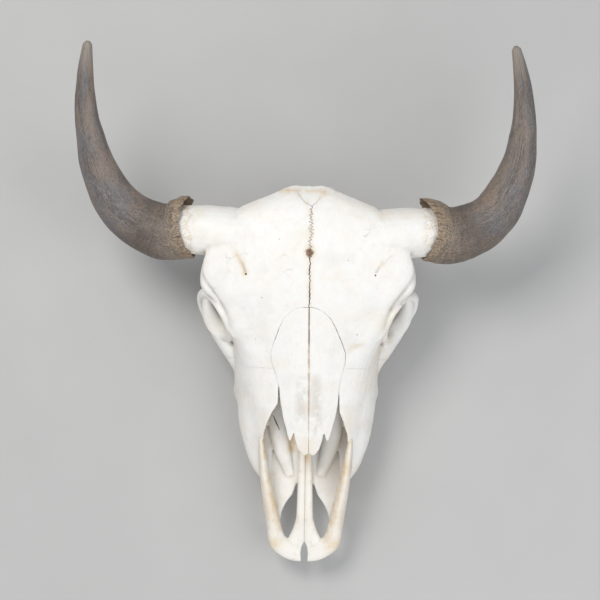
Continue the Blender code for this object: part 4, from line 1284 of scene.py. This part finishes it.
def muzzle_stains(stains_and_shade, points, out, soft, fine):
    """The arms are tan, most on their inner edges, and there is a tan spot where the rods begin."""
    x, y, _ = points.T
    wide = np.abs(x)
    arm = between(wide, 0.018, 0.030)
    inner_edge = np.clip(-np.sign(x) * out[:, 0] * 1.6, 0, 1)
    tan = 0.09 + arm * 0.62 * (1 - between(-y, 0.305, 0.345)) * between(soft + 0.3 * fine, -1.6, 0.9)
    tan += arm * 0.35 * inner_edge * between(fine, -0.8, 0.6)
    tan += 0.60 * bell(y, -0.354, 0.010) * between(wide, 0.026, 0.044)
    tan += 0.90 * bell(y, -0.228, 0.010) * bell(x, 0.003, 0.005)
    stains_and_shade["tan"] = tan
    stains_and_shade["grey"] += 0.30 * between(wide, 0.046, 0.056) * band(-y, 0.285, 0.320, 0.340, 0.355)
    stains_and_shade["brown"] += 0.15 * between(fine, 0.5, 1.2)


def nasal_stains(stains_and_shade, points, out, soft, fine):
    """A grey patch beside the joint between the nasal bones, and brown dirt in the joint."""
    x, y, _ = points.T
    across = np.abs(x - nasal_joint(y))
    patch = band(-y, 0.085, 0.125, 0.175, 0.215) * bell(across, 0.010, 0.009)
    stains_and_shade["grey"] += 0.70 * patch * between(fine + soft, -0.9, 0.9)
    stains_and_shade["tan"] += 0.20 * between(-y, 0.165, 0.215) * bell(across, 0.0, 0.014)
    joint = bell(across, 0.0, 0.0013) * (1 - between(-y, 0.14, 0.19))
    stains_and_shade["brown"] += 0.45 * joint * between(fine, -0.9, 0.3)
    stains_and_shade["tan"] += 0.6 * joint


def nose_stains_and_shade(stains_and_shade, points, out, soft, fine):
    """The walls and floor of the nose are greyer than the face, as painted shade that takes the place of most
    of the painted shade of recesses there, with a tan patch on the left.
    """
    x, y, z = points.T
    wide = np.abs(x)
    inside = between(HEIGHT_AT(points) - z, 0.012, 0.026) * (wide < 0.060) * between(z, 0.046, 0.052)
    # Painted shade inside the nose: grey instead of most of the brown darkening of recesses.
    stains_and_shade["hollow"] *= 1 - 0.6 * inside
    stains_and_shade["grey"] += 0.40 * inside * between(soft, -0.8, 0.8)
    stains_and_shade["tan"] *= 1 - 0.8 * inside
    stains_and_shade["tan"] += 0.20 * inside * between(fine, 0.2, 1.0)
    stains_and_shade["tan"] += 0.25 * bell(wide, 0.060, 0.006) * between(-y, 0.145, 0.170)
    stains_and_shade["tan"] += 0.9 * inside * bell(x, -0.019, 0.007) * band(-y, 0.165, 0.185, 0.212, 0.226)


def forehead_stains(stains_and_shade, points, out, soft, fine):
    """Dirt in the sutures, cracks and vessel holes, the round brown spot, and a tan crown."""
    x, y, z = points.T
    wide = np.abs(x)
    depth = HEIGHT_AT(points) - z
    on_top = (depth < 0.010) & (depth > -0.006)
    flat = points * np.array((1.0, 1.0, 0.0))
    near = np.full(len(points), 1.0)
    for line in (CROWN_SUTURE, FOREHEAD_CRACK, *CROWN_BRANCHES, *SMALL_CRACKS):
        far, _ = distance_to(flat, [(px, py, 0.0) for px, py in line])
        near = np.minimum(near, far)
    stains_and_shade["brown"] += on_top * (near < 0.0040) * (wide < 0.118) * between(depth, 0.0016, 0.0030)
    tan = 0.45 * on_top * bell(near, 0.0, 0.0045) * between(fine, -0.8, 0.6)
    patch = np.hypot((x - 0.0014) / 0.0058, (y - 0.0665) / 0.0064) + 0.35 * fine
    stains_and_shade["brown"] += on_top * (1 - between(patch, 0.75, 1.05)) * 0.85
    tan += on_top * (1 - between(patch, 1.0, 2.2)) * 0.4
    crown = bell(y, 0.1515, 0.0035) * (wide < 0.042) * between(z, 0.150, 0.165)
    tan += 0.55 * crown * between(fine, -0.7, 0.5)
    for px, py, size in ((-0.030, 0.1515, 0.0040), (0.0217, 0.1475, 0.0050), (-0.0870, 0.0365, 0.0034)):
        tan += 0.45 * on_top * bell(np.hypot(x - px, y - py), 0.0, size)
    groove, _ = distance_to(points, VESSEL_GROOVES[0][0])
    tan += 0.5 * bell(groove, 0.0, 0.005)
    tan += 0.30 * between(wide, 0.085, 0.110) * bell(y, -0.055, 0.030) * between(soft, -0.3, 0.5)
    stains_and_shade["tan"] += tan


STAINS_AND_SHADE_OF = {
    "premaxilla": muzzle_stains,
    "nasal": nasal_stains,
    "maxilla": nose_stains_and_shade,
    "vomer": nose_stains_and_shade,
    "cranium": forehead_stains,
}


def stained_and_shaded(obj, name):
    """Marks where a bone is tan, grey, brown or rough, and how much painted shade lies in its recesses."""
    points, out = coords(obj), facings(obj)
    _, y, _ = points.T
    wide = np.abs(points[:, 0])
    down = 1 - np.clip(out[:, 2], 0, 1)
    soft = layered(points, 0.030, 3, 201)
    fine = layered(points, 0.0065, 3, 211)
    tan = 0.12 * between(soft, 0.2, 1.0) + 0.30 * between(-y, 0.20, 0.30)
    tan += 0.35 * between(wide, 0.150, 0.166) * between(fine, -0.5, 0.8) * (y > 0.04)
    tan += 0.18 * down * between(soft, -0.2, 0.8)
    grey = 0.15 * between(-soft, 0.2, 1.0)
    # The last entry is painted shade, which darkens the bone where it lies in a recess.
    stains_and_shade = {"tan": tan, "grey": grey, "brown": np.zeros(len(points)), "hollow": hollowness(obj, 10)}
    kind = name.split("_")[0]
    if kind in STAINS_AND_SHADE_OF:
        STAINS_AND_SHADE_OF[kind](stains_and_shade, points, out, soft, fine)
    for stain_and_shade_key, amount in stains_and_shade.items():
        paint(obj, stain_and_shade_key, amount)
    paint(obj, "rough", 0.8 * between(wide, 0.156, 0.166) * (y > 0.03) + 0.3 * bell(y, 0.158, 0.012))


class Nodes:
    """A small helper that adds and links shader nodes."""

    def __init__(self, name):
        self.material = bpy.data.materials.new(name)
        self.material.use_nodes = True
        self.tree = self.material.node_tree
        self.shader = self.tree.nodes["Principled BSDF"]

    def feed(self, node, key, value):
        """One input of a node gets a link or a plain value."""
        if isinstance(value, bpy.types.NodeSocket):
            self.tree.links.new(value, node.inputs[key])
        else:
            node.inputs[key].default_value = value

    def add(self, kind, values=None, **settings):
        node = self.tree.nodes.new(kind)
        for key, value in settings.items():
            setattr(node, key, value)
        for key, value in (values or {}).items():
            self.feed(node, key, value)
        return node

    def place(self):
        return self.add("ShaderNodeTexCoord").outputs["Object"]

    def attribute(self, name):
        return self.add("ShaderNodeAttribute", attribute_name=name).outputs["Fac"]

    def coated(self, colour, *coats):
        """A colour under coats of other colours, each (how much of it shows, its colour)."""
        for share, coat in coats:
            node = self.add("ShaderNodeMix", {0: share, 6: colour, 7: (*coat, 1)}, data_type="RGBA")
            colour = node.outputs[2]
        return colour

    def times(self, a, b):
        return self.add("ShaderNodeMath", {0: a, 1: b}, operation="MULTIPLY").outputs[0]

    def spread(self, value, low, high, to_low=0.0, to_high=1.0):
        """value from low to high, spread over to_low to to_high."""
        values = {"Value": value, "From Min": low, "From Max": high, "To Min": to_low, "To Max": to_high}
        return self.add("ShaderNodeMapRange", values).outputs["Result"]

    def noise(self, vector, scale, detail=3.0, roughness=0.55):
        values = {"Vector": vector, "Scale": scale, "Detail": detail, "Roughness": roughness}
        return self.add("ShaderNodeTexNoise", values).outputs["Fac"]

    def stretched(self, vector, factors):
        return self.add("ShaderNodeVectorMath", {0: vector, 1: factors}, operation="MULTIPLY").outputs[0]

    def moved(self, vector, by):
        return self.add("ShaderNodeVectorMath", {0: vector, 1: by}, operation="ADD").outputs[0]

    def bump(self, height, strength, distance, below=None):
        values = {"Height": height, "Strength": strength, "Distance": distance}
        if below is not None:
            values["Normal"] = below
        return self.add("ShaderNodeBump", values).outputs["Normal"]

    def surface(self, **values):
        """Inputs of the surface by their names, with _ for a space."""
        for key, value in values.items():
            self.feed(self.shader, key.replace("_", " "), value)


def bone_material(name, white, cream, roughness):
    """Chalky bone with faint clouds, fibres and fine cracks, and with the stain marks and the painted shade
    of recesses that are marked on the mesh.
    """
    n = Nodes(name)
    place = n.place()
    clouds = n.noise(place, 16, 5, 0.6)
    mottle = n.noise(place, 95, 4, 0.65)
    grain = n.noise(n.stretched(place, (1.0, 0.10, 0.6)), 620, 3, 0.6)
    pores = n.add("ShaderNodeTexVoronoi", {"Vector": place, "Scale": 520.0}).outputs["Distance"]
    swirl = n.add("ShaderNodeTexNoise", {"Vector": place, "Scale": 60.0, "Detail": 2.0}).outputs["Color"]
    bent = n.moved(place, n.stretched(swirl, (0.010, 0.010, 0.010)))
    cells = n.add("ShaderNodeTexVoronoi", {"Vector": bent, "Scale": 46.0}, feature="DISTANCE_TO_EDGE")
    crazed = n.spread(cells.outputs["Distance"], 0.0, 0.022, 1.0, 0.0)
    crack = n.times(crazed, n.spread(n.noise(place, 22, 2), 0.62, 0.72))
    rough = n.attribute("rough")
    rough_spots = n.times(rough, n.spread(pores, 0.10, 0.42, 1.0, 0.0))
    colour = n.coated(
        (*white, 1),
        (n.spread(clouds, 0.50, 0.72, 0.0, 0.40), cream),
        (n.spread(mottle, 0.45, 0.75, 0.0, 0.12), (0.66, 0.61, 0.53)),
        (n.spread(grain, 0.50, 0.80, 0.0, 0.12), (0.60, 0.54, 0.45)),
        # Grey: stains on the nasal bones and muzzle, and painted shade on the walls and floor of the nose.
        (n.times(n.attribute("grey"), 0.80), (0.53, 0.50, 0.465)),
        (n.times(n.attribute("tan"), n.spread(mottle, 0.25, 0.75, 0.55, 1.0)), (0.66, 0.49, 0.27)),
        # Painted shade: brown darkening in the recesses of the bone.
        (n.times(n.attribute("hollow"), 0.55), (0.33, 0.25, 0.17)),
        (n.times(crack, 0.45), (0.30, 0.22, 0.15)),
        (n.times(rough_spots, 0.75), (0.20, 0.15, 0.11)),
        (n.attribute("brown"), (0.165, 0.065, 0.022)),
    )
    shape = n.bump(clouds, 0.25, 0.0020)
    shape = n.bump(mottle, 0.35, 0.00060, shape)
    shape = n.bump(grain, 0.30, 0.00030, shape)
    shape = n.bump(n.spread(pores, 0.05, 0.30), n.spread(rough, 0.0, 1.0, 0.12, 0.9), 0.00040, shape)
    shape = n.bump(crack, 0.60, -0.00050, shape)
    n.surface(
        Base_Color=colour,
        Roughness=n.spread(mottle, 0.3, 0.7, roughness - 0.07, roughness + 0.10),
        Subsurface_Weight=0.10,
        Subsurface_Radius=(0.0050, 0.0032, 0.0018),
        Subsurface_Scale=1.0,
        Specular_IOR_Level=0.42,
        Normal=shape,
    )
    return n.material


def horn_material(name, shift):
    """Weathered horn: streaks and hairs along the grain, growth rings, a pale frayed mouth, a worn tip."""
    n = Nodes(name)
    grain = {i: n.attribute(key) for i, key in enumerate(("grain_along", "grain_x", "grain_y"))}
    place = n.moved(n.add("ShaderNodeCombineXYZ", grain).outputs[0], (shift, shift * 0.3, 0.0))
    streak = n.noise(n.stretched(place, (0.085, 1.0, 1.0)), 420, 6, 0.70)
    hair = n.noise(n.stretched(place, (0.120, 1.0, 1.0)), 1700, 4, 0.65)
    speck = n.noise(n.stretched(place, (0.40, 1.0, 1.0)), 700, 4, 0.65)
    patches = n.noise(n.stretched(place, (0.50, 1.0, 1.0)), 24, 6, 0.66)
    warm = n.noise(n.stretched(place, (0.40, 1.0, 1.0)), 40, 5, 0.66)
    rings = n.noise(n.stretched(place, (1.0, 0.14, 0.14)), 150, 4, 0.65)
    base, mouth, inner, dark, tip = (n.attribute(key) for key in ("base", "mouth", "inner", "dark", "tip"))
    inner = n.times(inner, n.spread(warm, 0.34, 0.60, 0.15, 1.0))
    colour = n.coated(
        (0.070, 0.056, 0.049, 1),
        (n.spread(streak, 0.40, 0.62), (0.225, 0.190, 0.166)),
        (n.spread(patches, 0.45, 0.58, 0.0, 0.80), (0.135, 0.138, 0.155)),
        (n.times(inner, 0.75), (0.235, 0.172, 0.125)),
        (n.spread(warm, 0.48, 0.62, 0.0, 0.60), (0.250, 0.180, 0.138)),
        (n.spread(warm, 0.46, 0.36, 0.0, 0.55), (0.085, 0.070, 0.066)),
        (n.spread(hair, 0.52, 0.66, 0.0, 0.65), (0.430, 0.395, 0.355)),
        (n.spread(speck, 0.54, 0.66, 0.0, 0.70), (0.050, 0.038, 0.032)),
        (n.times(dark, n.spread(patches, 0.40, 0.58, 0.35, 0.85)), (0.072, 0.056, 0.050)),
        (n.times(base, n.spread(speck, 0.58, 0.44, 0.0, 0.55)), (0.340, 0.262, 0.185)),
        (n.times(base, n.spread(rings, 0.50, 0.62, 0.0, 0.65)), (0.065, 0.048, 0.038)),
        (n.times(mouth, n.spread(speck, 0.58, 0.40, 0.10, 0.90)), (0.420, 0.310, 0.195)),
        (n.times(mouth, n.spread(streak, 0.52, 0.62, 0.0, 0.85)), (0.085, 0.055, 0.036)),
        (n.times(tip, n.spread(streak, 0.35, 0.65, 0.3, 0.9)), (0.330, 0.290, 0.250)),
    )
    shape = n.bump(streak, 0.50, 0.0010)
    shape = n.bump(hair, 0.40, 0.00035, shape)
    shape = n.bump(speck, n.spread(base, 0.0, 1.0, 0.20, 0.60), 0.00060, shape)
    shape = n.bump(rings, n.spread(base, 0.0, 1.0, 0.08, 0.40), 0.0008, shape)
    roughness = n.spread(streak, 0.3, 0.7, 0.44, 0.66)
    n.surface(Base_Color=colour, Roughness=roughness, Specular_IOR_Level=0.42, Normal=shape)
    return n.material


def enamel_material():
    """Old tooth enamel, banded from root to crown, with painted shade in its folds."""
    n = Nodes("enamel")
    place = n.place()
    bands = n.noise(n.stretched(place, (1.0, 1.0, 0.18)), 260, 4, 0.6)
    colour = n.coated(
        (0.70, 0.64, 0.50, 1),
        (n.spread(bands, 0.40, 0.70), (0.44, 0.34, 0.21)),
        (n.spread(n.noise(place, 120, 4, 0.6), 0.52, 0.72, 0.0, 0.6), (0.20, 0.13, 0.07)),
        # Painted shade: near-black darkening in the folds of the teeth.
        (n.times(n.attribute("hollow"), 0.85), (0.070, 0.045, 0.028)),
    )
    roughness = n.spread(bands, 0.3, 0.7, 0.28, 0.50)
    n.surface(Base_Color=colour, Roughness=roughness, Normal=n.bump(bands, 0.35, 0.00040))
    return n.material


def floor_material():
    n = Nodes("floor")
    clouds = n.spread(n.noise(n.place(), 6, 2), 0.3, 0.7)
    n.surface(Base_Color=n.coated((0.47, 0.47, 0.465, 1), (clouds, (0.49, 0.49, 0.485))), Roughness=0.85)
    return n.material


def finished(obj, name, material, slot, nodes):
    """The piece gets its name, finish and place, and stands for its node."""
    obj.name = name
    obj.data.materials.clear()
    obj.data.materials.append(material)
    obj.data.transform(Matrix.Translation((-CENTRE_X, -CENTRE_Y, 0)))
    obj.data.polygons.foreach_set("use_smooth", [True] * len(obj.data.polygons))
    obj.data.set_sharp_from_angle(angle=math.radians(52))
    obj.data.update()
    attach(obj, "root")
    if nodes:
        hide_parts(*nodes)
    return obj


def dress():
    white = bone_material("bleached_bone", (0.83, 0.82, 0.795), (0.77, 0.715, 0.61), 0.56)
    aged = bone_material("muzzle_bone", (0.84, 0.825, 0.785), (0.79, 0.72, 0.60), 0.50)
    enamel = enamel_material()
    for name, bone in bones().items():
        stained_and_shaded(bone, name)
        look = (aged, "aged_bone") if name.startswith("premaxilla") else (white, "bone")
        finished(bone, name + "_bone", *look, [name])
    for side in SIDES:
        teeth = fine_teeth(side)
        # Painted shade for the folds of the teeth, from how deep each point lies in a recess.
        paint(teeth, "hollow", hollowness(teeth, 8))
        finished(teeth, "teeth_" + side, enamel, "bone", [])
        horn = horn_material("weathered_horn_" + side, GRAIN_SHIFT[side])
        finished(fine_horn(side), "horn_" + side + "_sheath", horn, "horn", ["horn_" + side])


def light(name, place, aim, size, power, colour):
    """A soft rectangular lamp."""
    data = bpy.data.lights.new(name, "AREA")
    data.shape = "RECTANGLE"
    data.size, data.size_y = size
    data.energy = power
    data.color = colour
    lamp = bpy.data.objects.new(name, data)
    bpy.context.scene.collection.objects.link(lamp)
    lamp.location = place
    lamp.rotation_euler = (Vector(aim) - Vector(place)).to_track_quat("-Z", "Y").to_euler()


# The photograph's size and the skull's midline in it, in pixels, and one pixel at the reference height
IMAGE_SIZE = 600
MIDLINE_COLUMN = 307.5
PIXEL = 0.0014
REFERENCE_HEIGHT = 0.150
SENSOR_WIDTH = 36.0
CAMERA_DISTANCE = 2.6
CAMERA_ROLL = math.radians(0.7)


def look_down():
    """The camera, which looks straight down as in the photograph, and is turned as little as it was there."""
    camera = bpy.data.objects.new("camera", bpy.data.cameras.new("camera"))
    bpy.context.scene.collection.objects.link(camera)
    camera.data.sensor_width = SENSOR_WIDTH
    camera.data.lens = SENSOR_WIDTH * CAMERA_DISTANCE / (IMAGE_SIZE * PIXEL)
    shift = (IMAGE_SIZE / 2 - MIDLINE_COLUMN) * PIXEL
    camera.location = (-CENTRE_X + shift, -CENTRE_Y, REFERENCE_HEIGHT + CAMERA_DISTANCE)
    camera.rotation_euler = (0, 0, CAMERA_ROLL)
    bpy.context.scene.camera = camera


def studio():
    """A plain pale floor under soft light, as in a photographer's studio."""
    bpy.ops.mesh.primitive_plane_add(size=7.0, location=(0, 0, -0.0003))
    floor = bpy.context.object
    floor.name = "floor"
    floor.data.materials.append(floor_material())
    look_down()
    light("key", (-0.9, 1.1, 2.3), (0, 0, 0.1), (1.0, 1.0), 38, (1.0, 0.985, 0.96))
    light("fill", (1.3, -0.6, 1.9), (0, 0, 0.1), (1.6, 1.6), 17, (0.96, 0.98, 1.0))
    light("front", (0.1, -1.9, 1.2), (0, -0.1, 0.1), (1.8, 1.0), 11, (1.0, 0.99, 0.97))
    world = bpy.data.worlds.new("studio")
    world.use_nodes = True
    world.node_tree.nodes["Background"].inputs["Color"].default_value = (0.95, 0.97, 1.0, 1)
    world.node_tree.nodes["Background"].inputs["Strength"].default_value = 0.44
    bpy.context.scene.world = world
    bpy.context.scene.view_settings.view_transform = "Standard"


studio()
dress()
